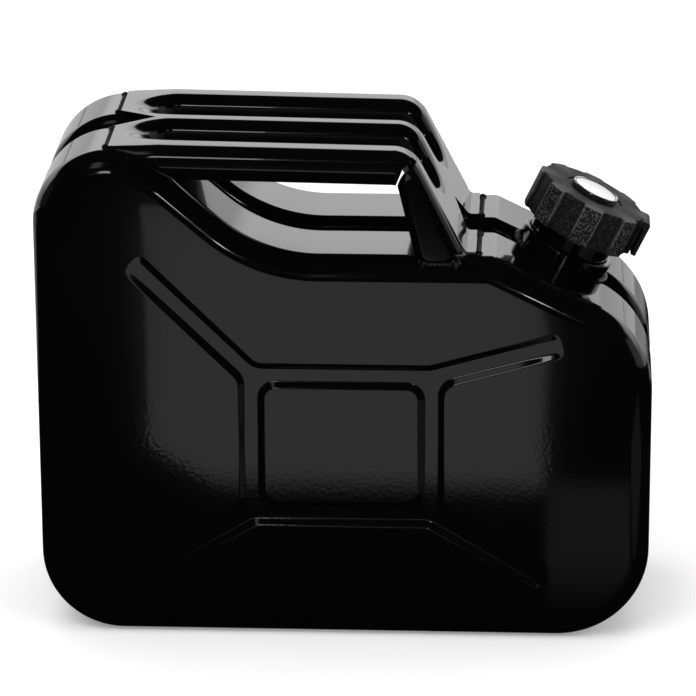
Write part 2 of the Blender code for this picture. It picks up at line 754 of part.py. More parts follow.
def add_fold(bm, edge_verts, depths, folds, side, turn_in, lean):
    """Flange folded down from a side edge, with the depth and fold radius of each vertex.

    Its lowest strip, as wide as the turn-in, leans inwards by the given share of its width.
    """
    previous = edge_verts
    for angle in arc(0, QUARTER_TURN, LIP_STEPS)[1:]:
        row = []
        for vertex, depth, fold in zip(edge_verts, depths, folds):
            bend = min(fold, depth)
            across = vertex.co.y + side * bend * math.sin(angle)
            row.append(bm.verts.new((vertex.co.x, across, -bend * (1 - math.cos(angle)))))
        strip(bm, previous, row)
        previous = row
    row = []
    for vertex, depth, fold in zip(edge_verts, depths, folds):
        across = vertex.co.y + side * min(fold, depth)
        knee = max(depth - turn_in, min(fold, depth))
        row.append(bm.verts.new((vertex.co.x, across, -knee)))
    strip(bm, previous, row)
    last = []
    for vertex, depth, fold in zip(edge_verts, depths, folds):
        knee = max(depth - turn_in, min(fold, depth))
        across = vertex.co.y + side * (min(fold, depth) - (depth - knee) * lean)
        last.append(bm.verts.new((vertex.co.x, across, -depth)))
    strip(bm, row, last)


def strip(bm, first, second):
    """Quads between two open rows of vertices."""
    for index in range(len(first) - 1):
        bm.faces.new((first[index], first[index + 1], second[index + 1], second[index]))


def build_handle(material, envelope):
    """Handle pressing: rear tongues, three bars with turned-down edges, leg and foot."""
    line = HandleLine()
    end = line.stations[-1]
    stations = side_stations(line)
    bm = bmesh.new()
    sides = {}
    for side in (-1, 1):
        sides[side] = [bm.verts.new((station, side * HANDLE_HALF_WIDTH, 0)) for station in stations]
    rear_inner = [bm.verts.new((0, side * CHANNEL_HALF_WIDTH, 0)) for side in (-1, 1)]
    rear_apex = bm.verts.new((REAR_NOTCH_LENGTH, 0, 0))
    foot_outer = {side: bm.verts.new((end, side * HANDLE_HALF_WIDTH, 0)) for side in (-1, 1)}
    foot_inner = {side: bm.verts.new((end, side * CHANNEL_HALF_WIDTH, 0)) for side in (-1, 1)}
    lip_start = end - FOOT_LIP
    lip_inner = {side: bm.verts.new((lip_start, side * CHANNEL_HALF_WIDTH, 0)) for side in (-1, 1)}
    foot_apex = bm.verts.new((lip_start - FOOT_NOTCH_LENGTH, 0, 0))
    boundary = list(sides[-1]) + [foot_outer[-1], foot_inner[-1], lip_inner[-1], foot_apex]
    boundary += [lip_inner[1], foot_inner[1], foot_outer[1]] + list(reversed(sides[1]))
    boundary += [rear_inner[1], rear_apex, rear_inner[0]]
    rings = [boundary]
    for side in (-1, 1):
        rings.append([bm.verts.new((x, y, 0)) for x, y in slot_ring(line, side, BAR_FOLD)])
    fill_between(bm, rings, Vector((0, 0, 1)))
    for side, ring in zip((-1, 1), rings[1:]):
        previous = ring
        for angle in arc(0, QUARTER_TURN, LIP_STEPS)[1:]:
            spread = BAR_FOLD * (1 - math.sin(angle))
            drop = -BAR_FOLD * (1 - math.cos(angle))
            row = [bm.verts.new((x, y, drop)) for x, y in slot_ring(line, side, spread)]
            bridge(bm, previous, row)
            previous = row
        row = [bm.verts.new((x, y, -SLOT_FLANGE)) for x, y in slot_ring(line, side, 0)]
        bridge(bm, previous, row)
    for side in (-1, 1):
        edge = sides[side]
        start = BAR_FOLD / 2
        middle = (start + SIDE_FLANGE) / 2
        depths = [start, middle, SIDE_FLANGE, SIDE_FLANGE, SLIT_TOP_DEPTH]
        folds = [BAR_FOLD] * len(depths)
        add_fold(bm, edge[1:6], depths, folds, side, SIDE_FLANGE_TURN_IN, SIDE_FLANGE_LEAN_SHARE)
        depths = [SLIT_TOP_DEPTH + BAR_FOLD / 2, LEG_FLANGE_TOP, LEG_FLANGE_FOOT]
        folds = [BAR_FOLD, LEG_TOP_FOLD, LEG_FOLD]
        add_fold(bm, edge[6:], depths, folds, side, LEG_EDGE_FOLD, LEG_EDGE_LEAN_SHARE)
    for station in line.stations[1:-1]:
        geometry = bm.verts[:] + bm.edges[:] + bm.faces[:]
        bmesh.ops.bisect_plane(bm, geom=geometry, plane_co=(station, 0, 0), plane_no=(1, 0, 0))
    for vertex in bm.verts:
        station, across, rise = vertex.co
        if abs(across) > HANDLE_HALF_WIDTH:
            vertex.co = line.place_flange(station, across, -rise)
        else:
            vertex.co = line.place(station, across, rise)
    above = Vector((0, 0, HANDLE_TOP + OVERRUN))
    handle = make_sheet("carry_handle", bm, material, above, Vector((0, 0, 1)))
    add_sheet(handle, HANDLE_SHEET, even=False)
    add_boolean(handle, envelope)
    return handle


def build_bead(name, start, end, out, material):
    """Weld bead between two points on a seat plane, swelling to a blob at each end.

    The bead lies on the side of the line that the horizontal vector out points to.
    """
    bm = bmesh.new()
    rings = []
    steps = SLOT_END_STEPS
    for step in range(steps + 1):
        share = step / steps
        scale = BLOB_SCALE if min(share, 1 - share) < BLOB_END_SHARE else 1
        spot = start.lerp(end, share)
        width = BEAD_WIDTH * scale
        height = BEAD_HEIGHT * scale
        ring = []
        shoulder = (width * BEAD_SHOULDER_SHARE, height * BEAD_SHOULDER_SHARE)
        for reach, rise in ((0, 0), (width, 0), shoulder, (0, height)):
            ring.append(bm.verts.new(spot + out * reach + Vector((0, 0, rise))))
        rings.append(ring)
    for first, second in zip(rings, rings[1:]):
        bridge(bm, first, second)
    bm.faces.new(rings[0])
    bm.faces.new(rings[-1])
    return make_object(name, bm, material)


def build_handle_welds(material):
    """Beads behind the two tongues and in front of the two feet."""
    seat = CREST_HEIGHT + GAP
    foot = RECESS_HEIGHT + GAP
    rear_x = HANDLE_REAR_X - GAP
    foot_x = FOOT_X + FOOT_LIP + GAP
    for side, word in ((-1, "front"), (1, "rear")):
        outer = side * HANDLE_HALF_WIDTH
        inner = side * CHANNEL_HALF_WIDTH
        start = Vector((rear_x, outer, seat))
        end = Vector((rear_x, inner, seat))
        build_bead(f"tongue_weld_{word}", start, end, Vector((-1, 0, 0)), material)
        start = Vector((foot_x, outer, foot))
        end = Vector((foot_x, inner, foot))
        build_bead(f"foot_weld_{word}", start, end, Vector((1, 0, 0)), material)


def build_leg_welds(material):
    """Beads along the foot of the two leg flanges, on the body's side fillet."""
    line = HandleLine()
    foot = line.place(side_stations(line)[-1], 0, 0)
    near = HANDLE_HALF_WIDTH + LEG_FOLD + GAP
    radius = SIDE_FILLET + GAP
    first = math.acos((near - STRIP_EDGE) / radius)
    for side, word in ((-1, "front"), (1, "rear")):
        bm = bmesh.new()
        rings = []
        for step in range(SLOT_END_STEPS + 1):
            share = step / SLOT_END_STEPS
            x = foot.x - LEG_BEAD_LENGTH * (1 - share)
            swell = BLOB_SCALE if min(share, 1 - share) < BLOB_END_SHARE else 1
            last = first - BEAD_WIDTH * swell / radius
            height = BEAD_HEIGHT * swell
            places = [(radius, first), (radius, last), (radius + height / 2, last), (radius + height, first)]
            ring = []
            for reach, angle in places:
                y = max(STRIP_EDGE + reach * math.cos(angle), near)
                z = RECESS_HEIGHT - SIDE_FILLET + reach * math.sin(angle)
                ring.append(bm.verts.new((x, side * y, z)))
            rings.append(ring)
        for ring, after in zip(rings, rings[1:]):
            bridge(bm, ring, after)
        bm.faces.new(rings[0])
        bm.faces.new(rings[-1])
        make_object(f"leg_weld_{word}", bm, material)


def cap_outline(shrink):
    """Lobed outline of the cap as (x, y) points, drawn in by the shrink."""
    points = []
    pitch = FULL_TURN / CAP_LOBES
    for lobe in range(CAP_LOBES):
        middle = lobe * pitch
        half = pitch * CAP_LOBE_SHARE / 2
        ramp = pitch * CAP_LOBE_RAMP_SHARE
        places = [
            (middle - half, CAP_RADIUS),
            (middle + half, CAP_RADIUS),
            (middle + half + ramp, CAP_WAIST_RADIUS),
            (middle + pitch - half - ramp, CAP_WAIST_RADIUS),
        ]
        for angle, radius in places:
            reach = radius - shrink
            points.append((reach * math.cos(angle), reach * math.sin(angle)))
    return points


def add_level(bm, points, height):
    """Ring of vertices at one height."""
    return [bm.verts.new((x, y, height)) for x, y in points]


def round_ring(radius):
    """Circle with as many points as the lobed outline, at the same angles."""
    points = []
    for x, y in cap_outline(0):
        angle = math.atan2(y, x)
        points.append((radius * math.cos(angle), radius * math.sin(angle)))
    return points


def build_cap(material):
    """Lobed cap with its inner thread and the tab at its outer edge."""
    bm = bmesh.new()
    badge_seat = BADGE_RADIUS + BADGE_RIM_WIDTH + GAP
    levels = [
        (round_ring(CAP_BORE_RADIUS), CAP_TOP - CAP_TOP_PLATE),
        (round_ring(CAP_BORE_RADIUS), CAP_BOTTOM),
        (cap_outline(CAP_FOOT_CHAMFER), CAP_BOTTOM),
        (cap_outline(0), CAP_BOTTOM + CAP_FOOT_CHAMFER),
        (cap_outline(0), CAP_TOP - CAP_TOP_CHAMFER),
        (cap_outline(CAP_TOP_CHAMFER), CAP_TOP),
        (round_ring(badge_seat), CAP_TOP),
        (round_ring(badge_seat), CAP_TOP - BADGE_SINK),
    ]
    rings = [add_level(bm, points, height) for points, height in levels]
    for first, second in zip(rings, rings[1:]):
        bridge(bm, first, second)
    bm.faces.new(rings[0])
    bm.faces.new(rings[-1])
    cap = make_object("cap_shell", bm, material)
    thread_bm = bmesh.new()
    crest = CAP_BORE_RADIUS - THREAD_DEPTH
    first_height = CAP_BOTTOM + THREAD_ROOT_WIDTH
    neck_first = NECK_MOUTH - THREAD_FROM_MOUTH - THREAD_PITCH * THREAD_TURNS
    turns_between = round((first_height - neck_first) / THREAD_PITCH - 0.5) + 0.5
    add_thread(thread_bm, CAP_BORE_RADIUS, crest, neck_first + turns_between * THREAD_PITCH)
    thread = make_cutter("cap_thread", thread_bm)
    add_boolean(cap, thread, "UNION")
    tab = build_cap_tab()
    add_boolean(cap, tab, "UNION")
    return cap, [thread, tab]


def build_cap_tab():
    """Tab that hangs down outside one lobe, joined to the cap at its top."""
    bm = bmesh.new()
    inner = CAP_TAB_REACH - CAP_TAB_THICKNESS
    root = CAP_WAIST_RADIUS - CAP_TOP_CHAMFER
    top = CAP_TOP - CAP_TOP_CHAMFER / 2
    bottom = top - CAP_TAB_HEIGHT
    shelf = top - CAP_TAB_ROOT
    half = CAP_TAB_WIDTH / 2
    profile = [(root, top), (CAP_TAB_REACH - CAP_TOP_CHAMFER, top), (CAP_TAB_REACH, top - CAP_TOP_CHAMFER)]
    profile += [(CAP_TAB_REACH, bottom), (inner, bottom), (inner, shelf), (root, shelf)]
    rows = []
    for y in (-half, half):
        rows.append([bm.verts.new((x, y, z)) for x, z in profile])
    bridge(bm, rows[0], rows[1])
    bm.faces.new(rows[0])
    bm.faces.new(rows[1])
    return make_cutter("cap_tab", bm)


def build_gasket(material):
    """Flat sealing ring between the neck's mouth and the cap."""
    bm = bmesh.new()
    bottom = NECK_MOUTH + GAP
    top = bottom + GASKET_THICKNESS
    inner = NECK_BORE / 2 - NECK_WALL
    outer = CAP_BORE_RADIUS - THREAD_CLEARANCE
    spin_profile(bm, [(inner, bottom), (outer, bottom), (outer, top), (inner, top)])
    return make_object("cap_gasket", bm, material)


def build_badge(rim_material, disc_material):
    """Plain domed disc in a bright rim, set into the top of the cap."""
    seat = CAP_TOP - BADGE_SINK + GAP
    rim_bm = bmesh.new()
    outer = BADGE_RADIUS + BADGE_RIM_WIDTH
    top = CAP_TOP + BADGE_RIM_HEIGHT
    soft = BADGE_RIM_WIDTH / 3
    profile = [(BADGE_RADIUS, seat), (outer, seat), (outer, top - soft), (outer - soft, top)]
    profile += [(BADGE_RADIUS + soft, top), (BADGE_RADIUS, top - soft)]
    spin_profile(rim_bm, profile)
    rim = make_object("cap_badge_rim", rim_bm, rim_material)
    disc_bm = bmesh.new()
    radius = BADGE_RADIUS - GAP
    edge = top - 2 * soft
    rings = []
    for reach, height in ((radius, seat), (radius, edge), (radius * 2 / 3, edge + BADGE_DOME / 2)):
        points = [(reach * math.cos(angle), reach * math.sin(angle)) for angle in arc(0, FULL_TURN, ROUND_STEPS)[:-1]]
        rings.append(add_level(disc_bm, points, height))
    for first, second in zip(rings, rings[1:]):
        bridge(disc_bm, first, second)
    disc_bm.faces.new(rings[0])
    disc_bm.faces.new(rings[-1])
    disc = make_object("cap_badge", disc_bm, disc_material)
    return rim, disc


def build_cap_group(materials):
    """Cap, gasket and badge, on empties that carry the lift and the turn."""
    lift = bpy.data.objects.new("cap_lift_axis", None)
    turn = bpy.data.objects.new("cap_turn_axis", None)
    for empty in (lift, turn):
        bpy.context.scene.collection.objects.link(empty)
    lift.matrix_world = neck_matrix()
    turn.parent = lift
    cap, helpers = build_cap(materials["cap plastic"])
    gasket = build_gasket(materials["seal rubber"])
    rim, disc = build_badge(materials["bright rim"], materials["badge white"])
    gasket.parent = lift
    for piece in (cap, rim, disc, *helpers):
        piece.parent = turn


def main():
    """Build the whole can."""
    clear_scene()
    materials = {
        "black paint": make_material("black paint", (0.004, 0.004, 0.005), 0.12, 0),
        "cap plastic": make_material("cap plastic", (0.018, 0.018, 0.019), 0.45, 0),
        "seal rubber": make_material("seal rubber", (0.02, 0.02, 0.02), 0.7, 0),
        "bright rim": make_material("bright rim", (0.7, 0.7, 0.72), 0.15, 1),
        "badge white": make_material("badge white", (0.8, 0.8, 0.8), 0.25, 0),
    }
    paint = materials["black paint"]
    envelope = build_envelope()
    hole = build_neck_hole()
    for name, side in (("front_shell", -1), ("rear_shell", 1)):
        add_boolean(build_half(name, side, paint), hole)
    add_boolean(build_seam_weld(paint), build_collar_clearance())
    build_neck(paint)
    build_collar(paint, envelope)
    build_collar_weld("collar_weld_low", 0, paint, envelope)
    build_collar_weld("collar_weld_high", math.pi, paint, envelope)
    build_handle(paint, envelope)
    build_handle_welds(paint)
    build_leg_welds(paint)
    build_cap_group(materials)


main()
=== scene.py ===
"""Ten-litre pressed-steel fuel can with a triple-bar handle, dressed over its CAD frame."""

import logging
import math
from dataclasses import dataclass, field
from enum import Enum
from functools import cached_property
from typing import Callable, Iterable, NamedTuple, Sequence

import bmesh
import bpy
from bmesh.types import BMEdge, BMesh, BMFace, BMVert
from bpy.types import ID, Material, Node, NodeSocket, NodeTree, Object
from mathutils import Matrix, Vector


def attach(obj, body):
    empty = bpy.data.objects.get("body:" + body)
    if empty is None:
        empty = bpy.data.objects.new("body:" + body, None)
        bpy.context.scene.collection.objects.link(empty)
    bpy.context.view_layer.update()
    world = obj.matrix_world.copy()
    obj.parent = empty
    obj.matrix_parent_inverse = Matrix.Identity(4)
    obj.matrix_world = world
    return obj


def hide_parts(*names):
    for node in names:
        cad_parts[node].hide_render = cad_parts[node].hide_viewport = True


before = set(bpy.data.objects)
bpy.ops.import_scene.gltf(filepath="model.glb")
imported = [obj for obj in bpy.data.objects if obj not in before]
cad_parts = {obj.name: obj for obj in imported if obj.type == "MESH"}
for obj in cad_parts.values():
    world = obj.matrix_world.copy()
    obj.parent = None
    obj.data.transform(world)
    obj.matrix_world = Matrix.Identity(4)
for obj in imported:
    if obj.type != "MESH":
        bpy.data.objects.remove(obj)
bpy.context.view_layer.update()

log = logging.getLogger("fuel_can")

MM = 0.001
QUARTER = math.pi / 2
TURN = 2 * math.pi
WELD = 0.00001
UP = Vector((0, 0, 1))
CORNERS = ((-1, -1), (1, -1), (1, 1), (-1, 1))
WHITE = (1.0, 1.0, 1.0, 1.0)

GAP = 0.3 * MM
SLOPE = math.radians(25.8)
CHANNEL_HALF_WIDTH = 15.5 * MM
CHANNEL_DEPTH = 12 * MM
BEAD_SEGMENTS = 14
BEAD_ANGLE = 80
LEG_BEAD_TAIL = 27 * MM
LEG_BEAD_HEAD = 2 * MM


class Side(Enum):
    """Which half of the can a piece belongs to: the value is the sign of its y."""

    FRONT = -1
    REAR = 1


class Body(Enum):
    """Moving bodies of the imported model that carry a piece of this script."""

    CAN = "can"
    CAP = "cap"


class Slot(Enum):
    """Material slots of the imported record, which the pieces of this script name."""

    PAINT = "black_paint"
    PLASTIC = "cap_plastic"
    RIM = "bright_rim"
    BADGE = "badge_white"


# ---------------------------------------------------------------- node tools


def hex_colour(code: str) -> tuple[float, float, float, float]:
    """Turn an sRGB hex code into a linear colour.

    Args:
        code: six hex digits after a hash.

    Returns:
        Linear red, green and blue, and an alpha of 1.
    """
    parts = [int(code[at:at + 2], 16) / 255 for at in (1, 3, 5)]
    linear = [
        part / 12.92 if part <= 0.04045 else ((part + 0.055) / 1.055) ** 2.4 for part in parts
    ]
    return (*linear, 1.0)


def add_node(
    tree: NodeTree, kind: str, settings: dict | None = None, links: dict | None = None
) -> Node:
    """Add a node with its settings and the sockets that feed it.

    Args:
        tree: node tree that gets the node.
        kind: Blender's type name of the node, after its ShaderNode.
        settings: attributes by name, and socket values by socket name or number.
        links: output sockets of other nodes, by this node's socket name or number.

    Returns:
        The new node.
    """
    node = tree.nodes.new("ShaderNode" + kind)
    for name, value in (settings or {}).items():
        if isinstance(name, int) or name in node.inputs:
            node.inputs[name].default_value = value
        else:
            setattr(node, name, value)
    for name, source in (links or {}).items():
        tree.links.new(source, node.inputs[name])
    return node


def start_tree(owner: Material | bpy.types.World) -> NodeTree:
    """Give a material or a world an empty node tree.

    Args:
        owner: the material or the world.

    Returns:
        The tree.
    """
    owner.use_nodes = True
    owner.node_tree.nodes.clear()
    return owner.node_tree


def start_material(name: str, settings: dict) -> tuple[Material, NodeTree, Node, NodeSocket]:
    """Make a material with a Principled shader on its output.

    Args:
        name: the material's name.
        settings: values of the shader's own sockets.

    Returns:
        The material, its node tree, its shader and the socket with the place on the object.
    """
    material = bpy.data.materials.new(name)
    tree = start_tree(material)
    shader = add_node(tree, "BsdfPrincipled", settings)
    add_node(tree, "OutputMaterial", links={"Surface": shader.outputs["BSDF"]})
    return material, tree, shader, add_node(tree, "TexCoord").outputs["Object"]


def per_metre(size_mm: float) -> float:
    """Scale of a pattern whose features are this many millimetres apart."""
    return 1 / (size_mm * MM)


# ---------------------------------------------------------------- finishes


@dataclass(frozen=True)
class GlossEnamel:
    """Stoved black enamel sprayed on steel: near-black, mirror-like, with faint orange peel."""

    name: str = "stoved gloss enamel"
    colour: str = "#030304"
    dust: str = "#0a0a0d"
    dust_from: float = 0.45
    dust_share: float = 0.35
    roughness: float = 0.12
    lacquer_roughness: float = 0.02
    ior: float = 1.5
    peel_mm: float = 2.6
    peel_height_mm: float = 0.030
    peel_calm: float = 0.12
    peel_low: float = 0.115
    peel_high: float = 0.150
    wave_mm: float = 26.0
    wave_height_mm: float = 0.010
    nib_mm: float = 1.2
    nib_height_mm: float = 0.0

    def build(self) -> Material:
        """Make the enamel's material, with a smooth lacquer over a softer paint layer.

        Returns:
            The material.
        """
        settings = {
            "Roughness": self.roughness,
            "IOR": self.ior,
            "Coat Weight": 1.0,
            "Coat Roughness": self.lacquer_roughness,
            "Coat IOR": self.ior,
        }
        material, tree, shader, place = start_material(self.name, settings)
        peel = add_node(
            tree,
            "TexNoise",
            {"Scale": per_metre(self.peel_mm), "Detail": 1.0, "Roughness": 0.4},
            {"Vector": place},
        )
        wave = add_node(
            tree, "TexNoise", {"Scale": per_metre(self.wave_mm), "Detail": 0.0}, {"Vector": place}
        )
        slow = add_node(
            tree,
            "Bump",
            {"Strength": 1.0, "Distance": self.wave_height_mm * MM},
            {"Height": wave.outputs[0]},
        )
        height = add_node(tree, "SeparateXYZ", links={0: place}).outputs["Z"]
        sagging = add_node(
            tree,
            "MapRange",
            {
                "From Min": self.peel_low,
                "From Max": self.peel_high,
                "To Min": 1.0,
                "To Max": self.peel_calm,
            },
            {"Value": height},
        )
        normal = add_node(
            tree,
            "Bump",
            {"Distance": self.peel_height_mm * MM},
            {
                "Height": peel.outputs[0],
                "Strength": sagging.outputs[0],
                "Normal": slow.outputs[0],
            },
        ).outputs[0]
        if self.nib_height_mm:
            nibs = add_node(
                tree, "TexVoronoi", {"Scale": per_metre(self.nib_mm)}, {"Vector": place}
            )
            normal = add_node(
                tree,
                "Bump",
                {"Strength": 1.0, "Distance": self.nib_height_mm * MM},
                {"Height": nibs.outputs[0], "Normal": normal},
            ).outputs[0]
        film = add_node(
            tree,
            "TexNoise",
            {"Scale": per_metre(self.wave_mm * 2), "Detail": 3.0},
            {"Vector": place},
        )
        dusty = add_node(
            tree,
            "MapRange",
            {"From Min": self.dust_from, "To Max": self.dust_share},
            {"Value": film.outputs[0]},
        )
        tint = add_node(
            tree,
            "Mix",
            {"data_type": "RGBA", 6: hex_colour(self.colour), 7: hex_colour(self.dust)},
            {0: dusty.outputs[0]},
        )
        tree.links.new(tint.outputs[2], shader.inputs["Base Color"])
        tree.links.new(normal, shader.inputs["Normal"])
        tree.links.new(normal, shader.inputs["Coat Normal"])
        return material


@dataclass(frozen=True)
class GrainedPlastic:
    """Black moulded polypropylene: satin, with a spark-eroded, pebbled grain on its lobes."""

    name: str = "grained polypropylene"
    colour: str = "#101011"
    # Pale colour of the flecks painted on the grain as highlights.
    grain_glint: str = "#505052"
    # Pale colour painted on the lobes' upright edges and the top's shoulder as a highlight.
    edge: str = "#6c6c6e"
    roughness: float = 0.5
    sheen_level: float = 0.28
    ior: float = 1.49
    grain_mm: float = 1.2
    grain_height_mm: float = 0.07
    pebble_scale: float = 1.6
    pebble_amount: float = 0.6
    # The fleck fields place the painted highlights on the grain.
    fleck_low: float = 0.50
    fleck_high: float = 0.64
    fleck_share: float = 0.85
    smooth_share: float = 0.25

    def build(self) -> Material:
        """Make the plastic's material, its grain as pits and pebbles with pale flecks painted on
        as highlights, and a painted highlight on the lobes' edges.

        Returns:
            The material.
        """
        settings = {
            "Roughness": self.roughness,
            "IOR": self.ior,
            "Specular IOR Level": self.sheen_level,
        }
        material, tree, shader, place = start_material(self.name, settings)
        pits = add_node(
            tree,
            "TexNoise",
            {"Scale": per_metre(self.grain_mm), "Detail": 3.0, "Roughness": 0.65},
            {"Vector": place},
        )
        pebbles = add_node(
            tree,
            "TexVoronoi",
            {"Scale": per_metre(self.grain_mm * self.pebble_scale)},
            {"Vector": place},
        )
        fine = add_node(
            tree,
            "Bump",
            {"Strength": 1.0, "Distance": self.grain_height_mm * MM},
            {"Height": pits.outputs[0]},
        )
        coarse = add_node(
            tree,
            "Bump",
            {"Strength": self.pebble_amount, "Distance": self.grain_height_mm * MM},
            {"Height": pebbles.outputs[0], "Normal": fine.outputs[0]},
        )
        # Painted highlights: pale flecks where the pits' noise is high, fewer off the grained
        # lobes.
        flecks = add_node(
            tree,
            "MapRange",
            {"From Min": self.fleck_low, "From Max": self.fleck_high, "To Max": self.fleck_share},
            {"Value": pits.outputs[0]},
        )
        # The grain mark says where the lobes are grained; the other mark is a painted highlight on
        # their edges.
        grain, edge_highlight = (
            add_node(tree, "Attribute", {"attribute_name": mark}).outputs["Fac"]
            for mark in ("grain", "edge_highlight")
        )
        share = add_node(
            tree,
            "Math",
            {"operation": "MULTIPLY_ADD", 1: 1 - self.smooth_share, 2: self.smooth_share},
            {0: grain},
        )
        showing = add_node(
            tree, "Math", {"operation": "MULTIPLY"}, {0: flecks.outputs[0], 1: share.outputs[0]}
        )
        tint = add_node(
            tree,
            "Mix",
            {"data_type": "RGBA", 6: hex_colour(self.colour), 7: hex_colour(self.grain_glint)},
            {0: showing.outputs[0]},
        )
        # Painted highlight: the colour turns towards the pale edge colour on the lobes' upright
        # edges and the top's shoulder.
        highlighted = add_node(
            tree,
            "Mix",
            {"data_type": "RGBA", 7: hex_colour(self.edge)},
            {0: edge_highlight, 6: tint.outputs[2]},
        )
        tree.links.new(highlighted.outputs[2], shader.inputs["Base Color"])
        tree.links.new(coarse.outputs[0], shader.inputs["Normal"])
        return material


@dataclass(frozen=True)
class SealRubber:
    """Moulded nitrile rubber: dark grey and matt, with a soft dusty bloom."""

    name: str = "nitrile rubber"
    colour: str = "#1a1a1a"
    bloom: str = "#2b2b2a"
    roughness: float = 0.75
    ior: float = 1.52
    bloom_mm: float = 4.0

    def build(self) -> Material:
        """Make the rubber's material, its bloom as pale patches.

        Returns:
            The material.
        """
        settings = {"Roughness": self.roughness, "IOR": self.ior}
        material, tree, shader, place = start_material(self.name, settings)
        patches = add_node(
            tree, "TexNoise", {"Scale": per_metre(self.bloom_mm), "Detail": 5.0}, {"Vector": place}
        )
        tint = add_node(
            tree,
            "Mix",
            {"data_type": "RGBA", 6: hex_colour(self.colour), 7: hex_colour(self.bloom)},
            {0: patches.outputs[0]},
        )
        tree.links.new(tint.outputs[2], shader.inputs["Base Color"])
        return material


@dataclass(frozen=True)
class BrightPlate:
    """Chrome plating on a pressed rim: bright, nearly white metal with faint polishing marks."""

    name: str = "chrome plate"
    colour: str = "#dcdee0"
    roughness: float = 0.12
    mark_mm: float = 0.8
    mark_height_mm: float = 0.002

    def build(self) -> Material:
        """Make the plating's material; a metal keeps the default IOR.

        Returns:
            The material.
        """
        settings = {"Metallic": 1.0, "Roughness": self.roughness}
        settings["Base Color"] = hex_colour(self.colour)
        material, tree, shader, place = start_material(self.name, settings)
        marks = add_node(
            tree, "TexNoise", {"Scale": per_metre(self.mark_mm), "Detail": 4.0}, {"Vector": place}
        )
        bump = add_node(
            tree,
            "Bump",
            {"Strength": 1.0, "Distance": self.mark_height_mm * MM},
            {"Height": marks.outputs[0]},
        )
        tree.links.new(bump.outputs[0], shader.inputs["Normal"])
        return material


@dataclass(frozen=True)
class DomedResin:
    """White film under a dome of clear casting resin: clean white with a wet gloss."""

    name: str = "white domed resin"
    colour: str = "#f4f4f3"
    shade: str = "#e9e9ea"
    roughness: float = 0.3
    resin_roughness: float = 0.03
    ior: float = 1.5
    cloud_mm: float = 6.0

    def build(self) -> Material:
        """Make the resin's material, with hardly visible clouds in the white film.

        Returns:
            The material.
        """
        settings = {
            "Roughness": self.roughness,
            "IOR": self.ior,
            "Coat Weight": 1.0,
            "Coat Roughness": self.resin_roughness,
        }
        material, tree, shader, place = start_material(self.name, settings)
        clouds = add_node(
            tree, "TexNoise", {"Scale": per_metre(self.cloud_mm), "Detail": 2.0}, {"Vector": place}
        )
        tint = add_node(
            tree,
            "Mix",
            {"data_type": "RGBA", 6: hex_colour(self.colour), 7: hex_colour(self.shade)},
            {0: clouds.outputs[0]},
        )
        tree.links.new(tint.outputs[2], shader.inputs["Base Color"])
        return material


# ---------------------------------------------------------------- mesh tools


@dataclass(frozen=True)
class Bend:
    """Corner of a flat loop in the x-z plane, with its radius and number of facets."""

    x: float
    z: float
    radius: float
    steps: int = 12

    @property
    def place(self) -> Vector:
        """The corner's place in the x-z plane."""
        return Vector((self.x, self.z))

    def arc(self, before: "Bend", after: "Bend") -> tuple[Vector, Vector, float]:
        """Find the arc that rounds the corner.

        Args:
            before: the corner before it.
            after: the corner after it.

        Returns:
            The arc's start, its centre and the angle that it turns by.
        """
        arriving = (self.place - before.place).normalized()
        leaving = (after.place - self.place).normalized()
        turn = math.atan2(arriving.x * leaving.y - arriving.y * leaving.x, arriving.dot(leaving))
        start = self.place - arriving * self.radius * math.tan(abs(turn) / 2)
        left = Vector((-arriving.y, arriving.x))
        return start, start + left * math.copysign(self.radius, turn), turn


def draw_loop(bm: BMesh, bends: Sequence[Bend], y: float) -> list[BMEdge]:
    """Draw a closed loop with rounded corners by spinning a vertex round each corner's centre.

    Args:
        bm: mesh that gets the loop.
        bends: the corners, anticlockwise seen from the front.
        y: distance of the loop's plane from the can's middle.

    Returns:
        The loop's edges.
    """
    known = set(bm.edges)
    ends = []
    for index, bend in enumerate(bends):
        start, centre, turn = bend.arc(bends[index - 1], bends[(index + 1) % len(bends)])
        first = bm.verts.new((start.x, y, start.y))
        spun = bmesh.ops.spin(
            bm,
            geom=[first],
            cent=(centre.x, y, centre.y),
            axis=(0, -1, 0),
            angle=turn,
            steps=bend.steps,
        )
        ends.append((first, spun["geom_last"][0]))
    for index, (first, _) in enumerate(ends):
        bm.edges.new((ends[index - 1][1], first))
    return [edge for edge in bm.edges if edge not in known]


def face_along(face: BMFace, normal: Vector) -> BMFace:
    """Turn a face so that it looks along a normal.

    Args:
        face: the face.
        normal: direction that it has to look in.

    Returns:
        The same face.
    """
    face.normal_update()
    if face.normal.dot(normal) < 0:
        face.normal_flip()
    return face


def loop_face(bm: BMesh, edges: Sequence[BMEdge], normal: Vector) -> BMFace:
    """Fill a closed loop with one face that looks along the normal."""
    return face_along(bmesh.ops.contextual_create(bm, geom=list(edges))["faces"][0], normal)


def press(
    bm: BMesh, face: BMFace, section: Sequence[tuple[float, float]], merge: float = 0
) -> BMFace:
    """Press a face through a section, which leaves a ring of quads at each step.

    Args:
        bm: mesh that holds the face.
        face: flat face that is pressed and drawn in.
        section: pairs of inset and height along the face's normal, from where the face starts.
        merge: vertices nearer than this are merged, so that a tight corner ends in a point.

    Returns:
        The pressed face.
    """
    for (inset, height), (next_inset, next_height) in zip(section, section[1:]):
        bmesh.ops.inset_region(
            bm,
            faces=[face],
            use_boundary=True,
            use_even_offset=True,
            thickness=next_inset - inset,
            depth=next_height - height,
        )
        if merge:
            bmesh.ops.remove_doubles(bm, verts=face.verts, dist=merge)
            face = max(bm.faces, key=lambda each: len(each.verts))
    return face


